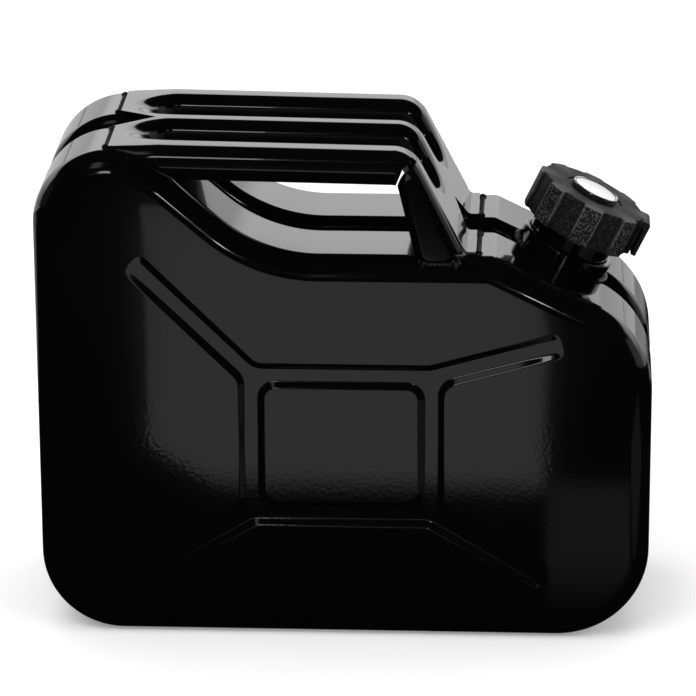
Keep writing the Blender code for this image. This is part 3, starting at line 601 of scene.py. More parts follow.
def fill_flat(bm: BMesh, edges: Iterable[BMEdge], normal: Vector) -> list[BMFace]:
    """Fill the flat area between an outer loop and the loops inside it.

    Args:
        bm: mesh that holds the loops.
        edges: edges of all the loops.
        normal: direction that the area looks in.

    Returns:
        The new faces.
    """
    made = bmesh.ops.triangle_fill(
        bm, use_beauty=True, use_dissolve=False, edges=list(edges), normal=normal
    )
    return [item for item in made["geom"] if isinstance(item, BMFace)]


def quarter_arc(
    inset: float, height: float, across: float, up: float, steps: int
) -> list[tuple[float, float]]:
    """Round a section by a quarter turn that starts upright.

    Args:
        inset: inset at which the turn starts.
        height: height at which it starts.
        across: how far it leads across.
        up: how far it leads up.
        steps: number of its facets.

    Returns:
        Pairs of inset and height, without the start.
    """
    turns = [QUARTER * step / steps for step in range(1, steps + 1)]
    return [(inset + across * (1 - math.cos(a)), height + up * math.sin(a)) for a in turns]


def extrude_edges(
    bm: BMesh, edges: Sequence[BMEdge], move: Callable[[Vector], Vector]
) -> list[BMEdge]:
    """Extrude edges and move each new vertex by a rule.

    Args:
        bm: mesh that holds the edges.
        edges: edges that are drawn out into faces.
        move: gives a new vertex's place from the place that it starts at.

    Returns:
        The new outer edges.
    """
    made = bmesh.ops.extrude_edge_only(bm, edges=list(edges))["geom"]
    for vertex in made:
        if isinstance(vertex, BMVert):
            vertex.co = move(vertex.co.copy())
    return [item for item in made if isinstance(item, BMEdge)]


def spin_wall(bm: BMesh, profile: Sequence[tuple[float, float]], steps: int) -> None:
    """Turn a closed profile of radius and height round the z axis.

    Args:
        bm: mesh that gets the turned solid.
        profile: pairs of radius and height; the last joins the first.
        steps: number of facets round the axis.
    """
    verts = [bm.verts.new((radius, 0, height)) for radius, height in profile]
    edges = [bm.edges.new((verts[at - 1], verts[at])) for at in range(len(verts))]
    bmesh.ops.spin(
        bm, geom=verts + edges, axis=UP, cent=(0, 0, 0), angle=TURN, steps=steps, use_merge=True
    )


def slice_at(bm: BMesh, geom: list, x: float) -> list:
    """Cut geometry at a place along x, and give back what it then consists of."""
    made = bmesh.ops.bisect_plane(
        bm, geom=geom, dist=WELD / 10, plane_co=(x, 0, 0), plane_no=(1, 0, 0)
    )
    return made["geom"]


def open_edges(bm: BMesh) -> list[BMEdge]:
    """Edges of a mesh that have one face only."""
    return [edge for edge in bm.edges if len(edge.link_faces) == 1]


def at_reach(spot: Vector, reach: float, height: float) -> Vector:
    """Place at a distance from the z axis and a height, at a point's own angle."""
    flat = spot.xy.normalized() * reach
    return Vector((flat.x, flat.y, height))


def disc(bm: BMesh, radius: float, height: float, segments: int) -> BMFace:
    """Lay a mesh's first face, a round one that looks up.

    Args:
        bm: empty mesh that gets it.
        radius: its radius.
        height: its height.
        segments: number of its edges.

    Returns:
        The face.
    """
    place = Matrix.Translation((0, 0, height))
    bmesh.ops.create_circle(bm, cap_ends=True, segments=segments, radius=radius, matrix=place)
    return face_along(bm.faces[:][0], UP)


def grow_bead(bm: BMesh, spot: Vector, step: Matrix, sizes: Sequence[float]) -> None:
    """Draw a mesh's only face out into a bead whose thickness changes along its length.

    Args:
        bm: mesh with the bead's first end.
        spot: middle of that end.
        step: carries each ring on to the next.
        sizes: thickness of each ring, as a share of the first end's.
    """
    face = bm.faces[:][0]
    now = 1.0
    for index, size in enumerate(sizes):
        if index:
            face = bmesh.ops.extrude_discrete_faces(bm, faces=[face])["faces"][0]
            bmesh.ops.transform(bm, matrix=step, verts=face.verts)
            spot = step @ spot
        space = Matrix.Translation(-spot)
        bmesh.ops.scale(bm, vec=(size / now,) * 3, space=space, verts=face.verts)
        now = size
    bmesh.ops.holes_fill(bm, edges=bm.edges, sides=0)
    tidy(bm)


def rounded_tip(share: float) -> float:
    """Size of a bead near its end, by the share of the way from its tip to its full size."""
    return math.sqrt(max(1 - (1 - min(share, 1)) ** 2, 0.04))


def tidy(bm: BMesh) -> None:
    """Merge the doubles of a mesh and turn its faces outwards."""
    bmesh.ops.remove_doubles(bm, verts=bm.verts, dist=WELD)
    bmesh.ops.recalc_face_normals(bm, faces=bm.faces)


def face_out(bm: BMesh, way: Vector) -> None:
    """Turn the faces of an open surface so that its outermost one looks outwards.

    Args:
        bm: mesh of the surface.
        way: direction in which that face lies furthest.
    """
    bmesh.ops.recalc_face_normals(bm, faces=bm.faces)
    outermost = max(bm.faces, key=lambda face: face.calc_center_median().dot(way))
    if outermost.normal.dot(way) < 0:
        bmesh.ops.reverse_faces(bm, faces=bm.faces)


def add_object(name: str, data: ID) -> Object:
    """Put a new object into the scene, at the origin.

    Args:
        name: its name.
        data: its mesh, lamp or camera.

    Returns:
        The object.
    """
    made = bpy.data.objects.new(name, data)
    bpy.context.scene.collection.objects.link(made)
    return made


def make_object(name: str, bm: BMesh) -> Object:
    """Turn a bmesh into an object.

    Args:
        name: the object's name.
        bm: its mesh, which is freed.

    Returns:
        The object.
    """
    mesh = bpy.data.meshes.new(name)
    bm.to_mesh(mesh)
    bm.free()
    return add_object(name, mesh)


def make_piece(name: str, bm: BMesh, material: Material) -> Object:
    """Turn a bmesh into a smooth-shaded object with a finish.

    Args:
        name: the object's name.
        bm: its mesh, which is freed.
        material: its finish.

    Returns:
        The object.
    """
    made = make_object(name, bm)
    made.data.shade_smooth()
    made.data.materials.append(material)
    return made


def flatten_shading(piece: Object, angle: float) -> None:
    """Keep flat faces flat and edges crisp.

    Args:
        piece: object that is shaded smooth.
        angle: edges that turn by more degrees than this are shaded sharp.
    """
    piece.data.set_sharp_from_angle(angle=math.radians(angle))
    weighted = piece.modifiers.new("Flat faces stay flat", "WEIGHTED_NORMAL")
    weighted.keep_sharp = True
    weighted.weight = 80


def bake(piece: Object) -> None:
    """Apply a piece's modifiers to its mesh.

    Args:
        piece: the piece.
    """
    graph = bpy.context.evaluated_depsgraph_get()
    done = bpy.data.meshes.new_from_object(piece.evaluated_get(graph), depsgraph=graph)
    piece.modifiers.clear()
    piece.data = done


def cut(piece: Object, cutter: Object, operation: str = "DIFFERENCE") -> None:
    """Cut a piece with another object, or join the two, and remove that object.

    Args:
        piece: object that is changed.
        cutter: object that is taken away from it or added to it.
        operation: the Boolean's operation.
    """
    boolean = piece.modifiers.new("Cut", "BOOLEAN")
    boolean.object = cutter
    boolean.operation = operation
    boolean.solver = "MANIFOLD"
    bake(piece)
    bpy.data.objects.remove(cutter)


def thicken(piece: Object, sheet: float) -> None:
    """Give an open surface the thickness of its sheet, on the inner side.

    Args:
        piece: the surface.
        sheet: its thickness.
    """
    wall = piece.modifiers.new("Sheet", "SOLIDIFY")
    wall.thickness = sheet
    wall.offset = -1


def dress(piece: Object, body: Body, slot: Slot, node: str, angle: float | None = None) -> None:
    """Hand a finished piece to the frame.

    Args:
        piece: the finished object.
        body: moving body that carries it.
        slot: slot of the record meant for its finish; not used.
        node: CAD node that it stands for.
        angle: edges that turn by more degrees than this are shaded sharp, if any are.
    """
    if angle is not None:
        flatten_shading(piece, angle)
    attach(piece, body.value)
    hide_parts(node)
    piece.data.calc_loop_triangles()
    log.info("%s: %d triangles", piece.name, len(piece.data.loop_triangles))


# ---------------------------------------------------------------- the can


@dataclass
class CanOutline:
    """Side outline of the can, with the heights and runs of its top."""

    length: float = 350 * MM
    width: float = 140 * MM
    crest_height: float = 288.4 * MM
    recess_height: float = 228.5 * MM
    knee_height: float = 276.2 * MM
    crest_x: float = -127.0 * MM
    knee_x: float = -100.8 * MM
    recess_x: float = -45.5 * MM
    shoulder_x: float = 84.5 * MM
    side_fillet: float = 13 * MM
    bottom_rear_round: float = 47 * MM
    bottom_front_round: float = 53 * MM
    front_round: float = 55 * MM
    shoulder_round: float = 8 * MM
    recess_round: float = 85 * MM
    knee_round: float = 40 * MM
    crest_round: float = 16 * MM
    rear_round: float = 43.5 * MM

    def corners(self) -> list[Bend]:
        """Place the outline's corners.

        Returns:
            The corners, anticlockwise seen from the front.
        """
        half = self.length / 2
        front = self.recess_height - (half - self.shoulder_x) * math.tan(SLOPE)
        return [
            Bend(-half, 0, self.bottom_rear_round, 22),
            Bend(half, 0, self.bottom_front_round, 22),
            Bend(half, front, self.front_round, 20),
            Bend(self.shoulder_x, self.recess_height, self.shoulder_round, 6),
            Bend(self.recess_x, self.recess_height, self.recess_round, 18),
            Bend(self.knee_x, self.knee_height, self.knee_round, 6),
            Bend(self.crest_x, self.crest_height, self.crest_round, 4),
            Bend(-half, self.crest_height, self.rear_round, 22),
        ]

    def face(self, bm: BMesh, y: float, way: int) -> BMFace:
        """Fill the outline at a place across the can, with a face that looks along -y or +y."""
        return loop_face(bm, draw_loop(bm, self.corners(), y), Vector((0, way, 0)))

    @property
    def strip_edge(self) -> float:
        """Distance from the middle at which the strip ends and the side fillet starts."""
        return self.width / 2 - self.side_fillet


@dataclass
class SidePressing:
    """Cross-shaped groove and raised rectangle that are pressed into each side face."""

    centre_x: float = -1.0 * MM
    centre_z: float = 117.7 * MM
    half_length: float = 43.2 * MM
    half_height: float = 33.7 * MM
    depth: float = 2.2 * MM
    wall: float = 4.7 * MM
    floor: float = 6.5 * MM
    fade_rear: tuple[float, int] = (72.0 * MM, 2)
    fade_low: tuple[float, int] = (70.0 * MM, 3)
    fade_front: tuple[float, int] = (79.0 * MM, 5)
    panel_radius: float = 8 * MM
    arm_radius: float = 5 * MM
    plateau_radius: float = 6 * MM
    wall_steps: int = 4
    wall_round: float = 0.28
    cut_pitch: float = 3.0 * MM
    tips_mm: tuple = ((-119.5, 36.0), (118.0, 36.0), (124.0, 180.0), (-119.5, 226.0))

    def cross(self) -> list[Bend]:
        """Place the corners of the line where the flat panels end and the groove starts.

        Returns:
            The corners, anticlockwise seen from the front.
        """
        groove = self.floor / 2 + self.wall
        half_x = self.half_length + groove
        half_z = self.half_height + groove
        bends = []
        for (side, level), tip in zip(CORNERS, self.tips_mm):
            root = Vector((self.centre_x + side * half_x, self.centre_z + level * half_z))
            end = Vector(tip) * MM
            along = (end - root).normalized()
            across = Vector((-along.y, along.x)) * groove
            edge_x = self.centre_x + side * (half_x + groove)
            edge_z = self.centre_z + level * (half_z + groove)
            for turn in (-1, 1):
                start = root + across * turn
                run = (edge_z - start.y) / along.y
                if turn * side * level < 0:
                    run = (edge_x - start.x) / along.x
                pair = [
                    Bend(*(start + along * run), self.panel_radius, 6),
                    Bend(*(end + across * turn), self.arm_radius, 5),
                ]
                bends += pair[::-turn]
        return bends

    def rectangle(self) -> list[Bend]:
        """Place the corners of the foot of the raised rectangle.

        Returns:
            The corners, anticlockwise seen from the front.
        """
        half_x = self.half_length + self.wall
        half_z = self.half_height + self.wall
        radius = self.plateau_radius + self.wall
        return [
            Bend(self.centre_x + side * half_x, self.centre_z + level * half_z, radius, 7)
            for side, level in CORNERS
        ]

    def fade(self, x: float, z: float) -> float:
        """Share of the groove's full depth at a place on the side face.

        Args:
            x: the place along the can.
            z: its height.

        Returns:
            The share, from 1 beside the rectangle to 0 at the end of an arm.
        """
        reach = max(abs(x - self.centre_x) - self.half_length - self.wall, 0)
        run, power = self.fade_low if z < self.centre_z else self.fade_front
        if x < self.centre_x:
            run, power = self.fade_rear
        return 1 - min(reach / run, 1) ** power

    def press_into(self, bm: BMesh, face: BMFace) -> None:
        """Press the groove and the rectangle into the side face.

        Args:
            bm: mesh of one half of the can.
            face: its flat side face, which is replaced.
        """
        drop = bm.verts.layers.float.new("drop")
        normal = face.normal.copy()
        level = face.verts[0].co.y
        border = list(face.edges)
        bmesh.ops.delete(bm, geom=[face], context="FACES_ONLY")
        old = set(bm.faces)
        cross = draw_loop(bm, self.cross(), level)
        panels = set(fill_flat(bm, border + cross, normal))
        floor = loop_face(bm, cross, normal)
        self.sink(bm, floor, drop, 0, 1)
        rim = list(floor.edges)
        bmesh.ops.delete(bm, geom=[floor], context="FACES_ONLY")
        foot = draw_loop(bm, self.rectangle(), level)
        for vertex in {vertex for edge in foot for vertex in edge.verts}:
            vertex[drop] = 1
        fill_flat(bm, rim + foot, normal)
        self.sink(bm, loop_face(bm, foot, normal), drop, 1, 0)
        self.slice(bm, {face for face in bm.faces if face not in old and face not in panels})
        for vertex in bm.verts:
            if vertex[drop] > 0:
                depth = self.depth * vertex[drop] * self.fade(vertex.co.x, vertex.co.z)
                vertex.co.y = level - normal.y * depth

    def sink(self, bm: BMesh, face: BMFace, drop: object, first: float, last: float) -> None:
        """Draw a face in over the groove's wall, from one level to the other.

        Args:
            bm: mesh of one half of the can.
            face: face that is drawn in.
            drop: vertex layer that holds the share of the groove's depth.
            first: share at the start.
            last: share at the end.
        """
        before = 0.0
        for reach in self.wall_places():
            press(bm, face, [(0, 0), (self.wall * (reach - before), 0)])
            before = reach
            for vertex in face.verts:
                vertex[drop] = first + (last - first) * self.wall_share(reach)

    def wall_places(self) -> list[float]:
        """Shares of the wall's width at which it has an edge, close together in its roundings."""
        soft = [self.wall_round * step / self.wall_steps for step in range(self.wall_steps + 1)]
        return soft[1:] + [1 - place for place in reversed(soft)]

    def wall_share(self, reach: float) -> float:
        """Share of the wall's drop, which is straight between two short roundings.

        Args:
            reach: share of the wall's width.

        Returns:
            The share of the drop.
        """
        soft = self.wall_round
        if reach > 1 - soft:
            return 1 - self.wall_share(1 - reach)
        if reach > soft:
            return (reach - soft / 2) / (1 - soft)
        return reach * reach / (2 * soft * (1 - soft))

    def slice(self, bm: BMesh, kept: set[BMFace]) -> None:
        """Slice faces across the can, so that the groove can fade evenly along its arms.

        Args:
            bm: mesh of one half of the can.
            kept: the faces.
        """
        reach = max(abs(x) for x, _ in self.tips_mm) * MM + self.wall
        count = round(2 * reach / self.cut_pitch)
        for step in range(count + 1):
            geom = set(kept)
            for face in kept:
                geom.update(face.edges)
                geom.update(face.verts)
            made = slice_at(bm, list(geom), -reach + 2 * reach * step / count)
            kept = {item for item in made if isinstance(item, BMFace)}


@dataclass
class CanShell:
    """One pressed half of the can: side face, fillet, strip, channel and flange."""

    outline: CanOutline
    pressing: SidePressing
    side: Side
    sheet: float = 0.9 * MM
    lip: float = 7 * MM
    channel_fillet: float = 2 * MM
    flange_height: float = 5 * MM
    flange_bend: float = 1.5 * MM
    merge: float = 0.2 * MM

    def side_section(self) -> list[tuple[float, float]]:
        """Section over the strip and the fillet, out to the side face."""
        edge, radius = self.outline.strip_edge, self.outline.side_fillet
        return [(0, CHANNEL_HALF_WIDTH), (0, edge), *quarter_arc(0, edge, radius, radius, 14)]

    def channel_section(self) -> list[tuple[float, float]]:
        """Draw the section over the lip, the channel and the flange, in towards the middle.

        Returns:
            Pairs of inset and height.
        """
        section = [(0, 0), *quarter_arc(0, 0, self.lip, self.lip, 8)]
        wall = CHANNEL_DEPTH - self.channel_fillet
        foot = quarter_arc(self.lip, wall, self.channel_fillet, self.channel_fillet, 4)
        section += [(wall, self.lip), *((inset, reach) for reach, inset in foot)]
        bend = CHANNEL_HALF_WIDTH - GAP / 2 - self.sheet - self.flange_bend
        flange = quarter_arc(CHANNEL_DEPTH, bend, -self.flange_bend, self.flange_bend, 4)
        section += [(CHANNEL_DEPTH, bend), *flange]
        return section + [(CHANNEL_DEPTH - self.flange_height, section[-1][1])]

    def build(self, material: Material, bore: "FillerNeck") -> None:
        """Build the half, dress it and hand it to the frame.

        Args:
            material: the enamel.
            bore: the filler neck, whose hole is cut.
        """
        bm = bmesh.new()
        outer = self.outline.face(bm, -CHANNEL_HALF_WIDTH, -1)
        self.pressing.press_into(bm, press(bm, outer, self.side_section(), self.merge))
        inner = self.outline.face(bm, -CHANNEL_HALF_WIDTH, 1)
        inner = press(bm, inner, self.channel_section(), self.merge)
        bmesh.ops.delete(bm, geom=[inner], context="FACES_ONLY")
        bmesh.ops.remove_doubles(bm, verts=bm.verts, dist=WELD)
        if self.side is Side.REAR:
            bmesh.ops.scale(bm, vec=(1, -1, 1), verts=bm.verts)
        face_out(bm, Vector((0, self.side.value, 0)))
        word = self.side.name.lower()
        half = make_piece(f"pressed_{word}_half", bm, material)
        thicken(half, self.sheet)
        cut(half, bore.cutter(bore.outer_radius + GAP))
        dress(half, Body.CAN, Slot.PAINT, f"{word}_shell", 40)


@dataclass
class SeamBead:
    """Weld bead along the two flanges, all round the can in the bottom of its channel."""

    outline: CanOutline
    inset: float = 6.7 * MM
    height: float = 1.6 * MM
    half_width: float = 1.5 * MM
    collar_gap: float = 2 * MM
    steps: int = 8

    def build(self, material: Material, bore: "FillerNeck") -> None:
        """Build the bead, cut at the collar.

        Args:
            material: the enamel over the weld.
            bore: the filler neck, whose collar ends the bead.
        """
        bm = bmesh.new()
        face = self.outline.face(bm, -self.half_width, 1)
        press(bm, face, [(0, 0), (self.inset, 0)])
        bmesh.ops.delete(bm, geom=[each for each in bm.faces if each is not face], context="FACES")
        turns = [math.pi * step / self.steps for step in range(self.steps + 1)]
        press(
            bm,
            face,
            [(-self.height * math.sin(a), self.half_width * (1 - math.cos(a))) for a in turns],
        )
        bmesh.ops.delete(bm, geom=[face], context="FACES_ONLY")
        bmesh.ops.bridge_loops(bm, edges=open_edges(bm))
        tidy(bm)
        bead = make_piece("seam_bead", bm, material)
        cut(bead, bore.cutter(bore.collar_radius + self.collar_gap))
        dress(bead, Body.CAN, Slot.PAINT, "seam_weld", 70)


# ---------------------------------------------------------------- the handle


class HandleLine:
    """The handle's length as a bent line, which carries its flat pattern into place."""

    def __init__(self, bends: Sequence[Bend]) -> None:
        """Draw the line.

        Args:
            bends: corners along the upper side of the sheet; the first and last are its ends.
        """
        self.bends = list(bends)
        self.points = [bends[0].place]
        for before, bend, after in zip(bends, bends[1:], bends[2:]):
            start, centre, turn = bend.arc(before, after)
            for step in range(bend.steps + 1):
                spoke = start - centre
                spoke.rotate(Matrix.Rotation(turn * step / bend.steps, 2))
                self.points.append(centre + spoke)
        self.points.append(bends[-1].place)
        self.stations = [0.0]
        for first, second in zip(self.points, self.points[1:]):
            self.stations.append(self.stations[-1] + (second - first).length)

    def station_at(self, value: float, axis: int, last: bool = False) -> float:
        """Find the distance along the line at which it passes a place.

        Args:
            value: the place, in metres.
            axis: 0 for x, 1 for the height.
            last: take the last such place instead of the first.

        Returns:
            The distance from the line's start.
        """
        found = []
        for index, (point, after) in enumerate(zip(self.points, self.points[1:])):
            low, high = point[axis], after[axis]
            if min(low, high) <= value <= max(low, high) and low != high:
                length = self.stations[index + 1] - self.stations[index]
                found.append(self.stations[index] + (value - low) / (high - low) * length)
        return found[-1 if last else 0]

    def nearest(self, station: float) -> float:
        """Station of the line's point that lies nearest."""
        return min(self.stations, key=lambda found: abs(found - station))

    def corner_normal(self, index: int) -> Vector:
        """Find the mitred normal at a point of the line.

        Args:
            index: the point's number.

        Returns:
            The normal, as long as the mitre needs.
        """
        near = self.points[max(index - 1, 0):index + 2]
        ways = [(second - first).normalized() for first, second in zip(near, near[1:])]
        total = sum((Vector((-way.y, way.x)) for way in ways), Vector((0, 0)))
        return total * len(ways) / total.dot(total)

    def place(self, station: float, across: float, rise: float) -> Vector:
        """Carry a point of the flat pattern to its place.

        Args:
            station: distance along the line.
            across: distance from the middle of the can.
            rise: height off the sheet's upper side.

        Returns:
            The point's place.
        """
        index = 0
        while index < len(self.points) - 2 and self.stations[index + 1] < station - WELD:
            index += 1
        length = self.stations[index + 1] - self.stations[index]
        share = (station - self.stations[index]) / length
        spot = self.points[index].lerp(self.points[index + 1], share)
        spot += self.corner_normal(index).lerp(self.corner_normal(index + 1), share) * rise
        return Vector((spot.x, across, spot.y))


@dataclass
class TripleHandle:
    """Handle pressing: rear tongues, three bars with turned-down edges, leg and foot."""

    sheet: float = 1.4 * MM
    half_width: float = 57 * MM
    rear_x: float = -131.6 * MM
    rise_x: float = -104.0 * MM
    rise_bend: float = 20 * MM
    seat_height: float = 290.2 * MM
    top_height: float = 291.4 * MM
    front_x: float = 38.5 * MM
    front_height: float = 289.2 * MM
    front_bend: float = 18 * MM
    foot_x: float = 69.0 * MM
    foot_height: float = 230.3 * MM
    foot_lip: float = 5.5 * MM
    foot_bend: float = 3 * MM
    slot_centre: float = 26 * MM
    slot_half_width: float = 16 * MM
    slot_rear_x: float = -115 * MM
    slot_front_height: float = 260 * MM
    slot_flange: float = 12 * MM
    slot_end_stretch: float = 0.2
    slot_lean: float = 0.65 * MM
    slot_steps: int = 20
    bar_fold: float = 7 * MM
    rear_notch: float = 21.6 * MM
    foot_notch: float = 17 * MM
    side_flange: float = 19 * MM
    flange_start: float = 3 * MM
    flange_taper: float = 30 * MM
    turn_in: float = 7.5 * MM
    lean: float = 0.34
    flange_end_x: float = 31.7 * MM
    slit_top: float = 5.5 * MM
    slit_width: float = 3.6 * MM
    leg_fold: float = 8 * MM
    leg_top_fold: float = 6.5 * MM
    leg_corner_height: float = 277.2 * MM
    leg_flange_top: float = 15.9 * MM
    leg_flange_foot: float = 28 * MM
    leg_edge: float = 4.6 * MM
    leg_lean: float = 0.6
    fold_steps: int = 8
    crease_steps: int = 4
    crease_share: float = 0.1

    @cached_property
    def line(self) -> HandleLine:
        """The handle's length, from its rear edge to the tip of its foot."""
        return HandleLine(
            [
                Bend(self.rear_x, self.seat_height, 0),
                Bend(self.rise_x, self.top_height, self.rise_bend, 6),
                Bend(self.front_x, self.front_height, self.front_bend, 20),
                Bend(self.foot_x, self.foot_height, self.foot_bend, 6),
                Bend(self.foot_x + self.foot_lip, self.foot_height, 0),
            ]
        )

    @cached_property
    def slit(self) -> float:
        """Station of the slit between the flanges of a side bar and of the leg."""
        return self.line.nearest(self.line.station_at(self.front_x, 0))

    @cached_property
    def slot_ends(self) -> tuple[float, float]:
        """Stations of the centres of a slot's rear and front end."""
        rear = self.line.station_at(self.slot_rear_x, 0)
        front = self.line.station_at(self.slot_front_height, 1, last=True)
        return rear + self.slot_half_width, front - self.slot_half_width

    def slot_loop(self, bm: BMesh, side: int) -> list[BMEdge]:
        """Draw a round-ended slot in the flat pattern, wider than the hole by its folds.

        Args:
            bm: mesh of the flat pattern.
            side: sign of the slot's y.

        Returns:
            The slot's edges.
        """
        radius = self.slot_half_width + self.bar_fold
        centre = side * self.slot_centre
        known = set(bm.edges)
        ends = []
        for middle, start in zip(self.slot_ends, (1, -1)):
            first = bm.verts.new((middle, centre + start * radius, 0))
            spun = bmesh.ops.spin(
                bm,
                geom=[first],
                cent=(middle, centre, 0),
                axis=UP,
                angle=math.pi,
                steps=self.slot_steps,
            )
            ends.append((first, spun["geom_last"][0]))
        rear = self.slot_ends[0]
        drawn = {vertex for edge in set(bm.edges) - known for vertex in edge.verts}
        bmesh.ops.scale(
            bm,
            vec=(self.end_stretch(radius), 1, 1),
            space=Matrix.Translation((-rear, 0, 0)),
            verts=[vertex for vertex in drawn if vertex.co.x < rear],
        )
        bm.edges.new((ends[0][1], ends[1][0]))
        bm.edges.new((ends[1][1], ends[0][0]))
        return [edge for edge in bm.edges if edge not in known]

    def end_stretch(self, reach: float) -> float:
        """How much longer than round the slot's rear end is at a reach from its spine."""
        return 1 + self.slot_end_stretch * (reach - self.slot_half_width) / self.bar_fold

    def side_stations(self) -> list[float]:
        """Find where the flange along a side edge changes.

        Returns:
            Stations along the edge.
        """
        line = self.line
        corner = line.nearest(line.station_at(self.flange_end_x, 0))
        leg_corner = line.station_at(self.leg_corner_height, 1, last=True)
        foot = line.stations[-1] - self.foot_lip - self.foot_bend
        middle = (self.flange_start + self.flange_taper) / 2
        bar = [0, self.flange_start, middle, self.flange_taper, corner, self.slit]
        return bar + [line.nearest(self.slit + self.slit_width), leg_corner, foot]

    def draw_pattern(self, bm: BMesh) -> tuple[dict, dict]:
        """Draw the flat sheet with its two slots.

        Args:
            bm: mesh that gets the sheet.

        Returns:
            The side edges' vertices by side, and the slots' edges by side.
        """
        end = self.line.stations[-1]
        lip = end - self.foot_lip
        half, channel = self.half_width, CHANNEL_HALF_WIDTH
        sides = {
            side: [bm.verts.new((at, side * half, 0)) for at in self.side_stations()]
            for side in (-1, 1)
        }
        rear = ((0, channel), (self.rear_notch, 0), (0, -channel))
        rear_verts = [bm.verts.new((x, y, 0)) for x, y in rear]
        foot = [(end, -half), (end, -channel), (lip, -channel), (lip - self.foot_notch, 0)]
        foot += [(lip, channel), (end, channel), (end, half)]
        foot_verts = [bm.verts.new((x, y, 0)) for x, y in foot]
        border = sides[-1] + foot_verts + sides[1][::-1] + rear_verts
        edges = [bm.edges.new((border[at - 1], border[at])) for at in range(len(border))]
        slots = {side: self.slot_loop(bm, side) for side in (-1, 1)}
        fill_flat(bm, edges + slots[-1] + slots[1], UP)
        return sides, slots

    def fold_slot(self, bm: BMesh, edges: list[BMEdge], side: int) -> None:
        """Turn the edges of a slot down.

        Args:
            bm: mesh of the flat pattern.
            edges: the slot's edges.
            side: sign of the slot's y.
        """
        rear, front = self.slot_ends
        start = before = self.slot_half_width + self.bar_fold
        section = quarter_arc(0, start, self.bar_fold, -self.bar_fold, self.fold_steps)
        for drop, reach in [*section, (self.slot_flange, self.slot_half_width - self.slot_lean)]:

            def move(spot: Vector) -> Vector:
                """Take a vertex from one reach off the slot's spine to the next.

                Args:
                    spot: its place before.

                Returns:
                    Its place after.
                """
                spine = Vector((min(max(spot.x, rear), front), side * self.slot_centre, 0))
                out = Vector((spot.x, spot.y, 0)) - spine
                if spot.x < rear:
                    out.x /= self.end_stretch(before)
                out = out.normalized() * reach
                if spot.x < rear:
                    out.x *= self.end_stretch(reach)
                return spine + out - Vector((0, 0, drop))

            edges = extrude_edges(bm, edges, move)
            before = reach

    def flange_section(
        self, depth: float, fold: float, turn_in: float, lean: float
    ) -> list[tuple[float, float]]:
        """Section of a side flange.

        Args:
            depth: how far down the flange reaches.
            fold: radius of its upper fold.
            turn_in: width of the strip at its lower edge that leans inwards.
            lean: how much the strip leans, as a share of its width.

        Returns:
            Pairs of reach beyond the pattern's edge and drop below the sheet.
        """
        bend = min(fold, depth)
        section = [(reach, drop) for drop, reach in quarter_arc(0, 0, bend, bend, self.fold_steps)]
        knee = max(depth - turn_in, bend)
        width = depth - knee
        soft = min(width, knee - bend) * self.crease_share
        for step in range(self.crease_steps + 1):
            share = step / self.crease_steps
            section.append((bend - lean * soft * share * share, knee - soft + 2 * soft * share))
        return section + [(bend - lean * width, depth)]

    def fold_side(
        self,
        bm: BMesh,
        verts: Sequence[BMVert],
        sections: Sequence[Sequence[tuple[float, float]]],
        side: int,
    ) -> None:
        """Turn a side edge down into a flange.

        Args:
            bm: mesh of the flat pattern.
            verts: vertices of the side edge.
            sections: the flange's section at each of them.
            side: sign of the edge's y.
        """
        stations = {round(vertex.co.x, 7): section for vertex, section in zip(verts, sections)}
        chosen = set(verts)
        linked = dict.fromkeys(edge for vertex in verts for edge in vertex.link_edges)
        edges = [edge for edge in linked if set(edge.verts) <= chosen]
        for level in range(len(sections[0])):

            def move(spot: Vector) -> Vector:
                """Place of one vertex at this level of its section."""
                reach, drop = stations[round(spot.x, 7)][level]
                return Vector((spot.x, side * (self.half_width + reach), -drop))

            edges = extrude_edges(bm, edges, move)

    def place_flange(self, station: float, across: float, drop: float) -> Vector:
        """Carry a point of a side flange to its place, straight below the fold of its run.

        Args:
            station: distance along the line.
            across: distance from the middle of the can.
            drop: depth below the sheet's upper side.

        Returns:
            The point's place.
        """
        first = 2 if station > self.slit + WELD else 1
        along = (self.line.bends[first + 1].place - self.line.bends[first].place).normalized()
        spot = self.line.place(station, across, -min(drop, self.bar_fold))
        return spot + Vector((along.y, 0, -along.x)) * max(drop - self.bar_fold, 0)

    def build(self, material: Material) -> None:
        """Build the handle, dress it and hand it to the frame.

        Args:
            material: the enamel.
        """
        start, fold = self.bar_fold / 2, self.bar_fold
        taper = (start, (start + self.side_flange) / 2, self.side_flange, self.side_flange)
        bar = [
            self.flange_section(depth, fold, self.turn_in, self.lean)
            for depth in (*taper, self.slit_top)
        ]
        runs = (
            (self.slit_top + start, fold),
            (self.leg_flange_top, self.leg_top_fold),
            (self.leg_flange_foot, self.leg_fold),
        )
        leg = [self.flange_section(*run, self.leg_edge, self.leg_lean) for run in runs]
        bm = bmesh.new()
        sides, slots = self.draw_pattern(bm)
        for side in (-1, 1):
            self.fold_slot(bm, slots[side], side)
            self.fold_side(bm, sides[side][1:6], bar, side)
            self.fold_side(bm, sides[side][6:], leg, side)
        for station in self.line.stations[1:-1]:
            slice_at(bm, bm.verts[:] + bm.edges[:] + bm.faces[:], station)
        for vertex in bm.verts:
            station, across, rise = vertex.co
            if abs(across) > self.half_width:
                vertex.co = self.place_flange(station, across, -rise)
            else:
                vertex.co = self.line.place(station, across, rise)
        face_out(bm, UP)
        handle = make_piece("triple_bar_handle", bm, material)
        thicken(handle, self.sheet)
        bake(handle)
        dress(handle, Body.CAN, Slot.PAINT, "carry_handle", 50)


# ---------------------------------------------------------------- weld beads


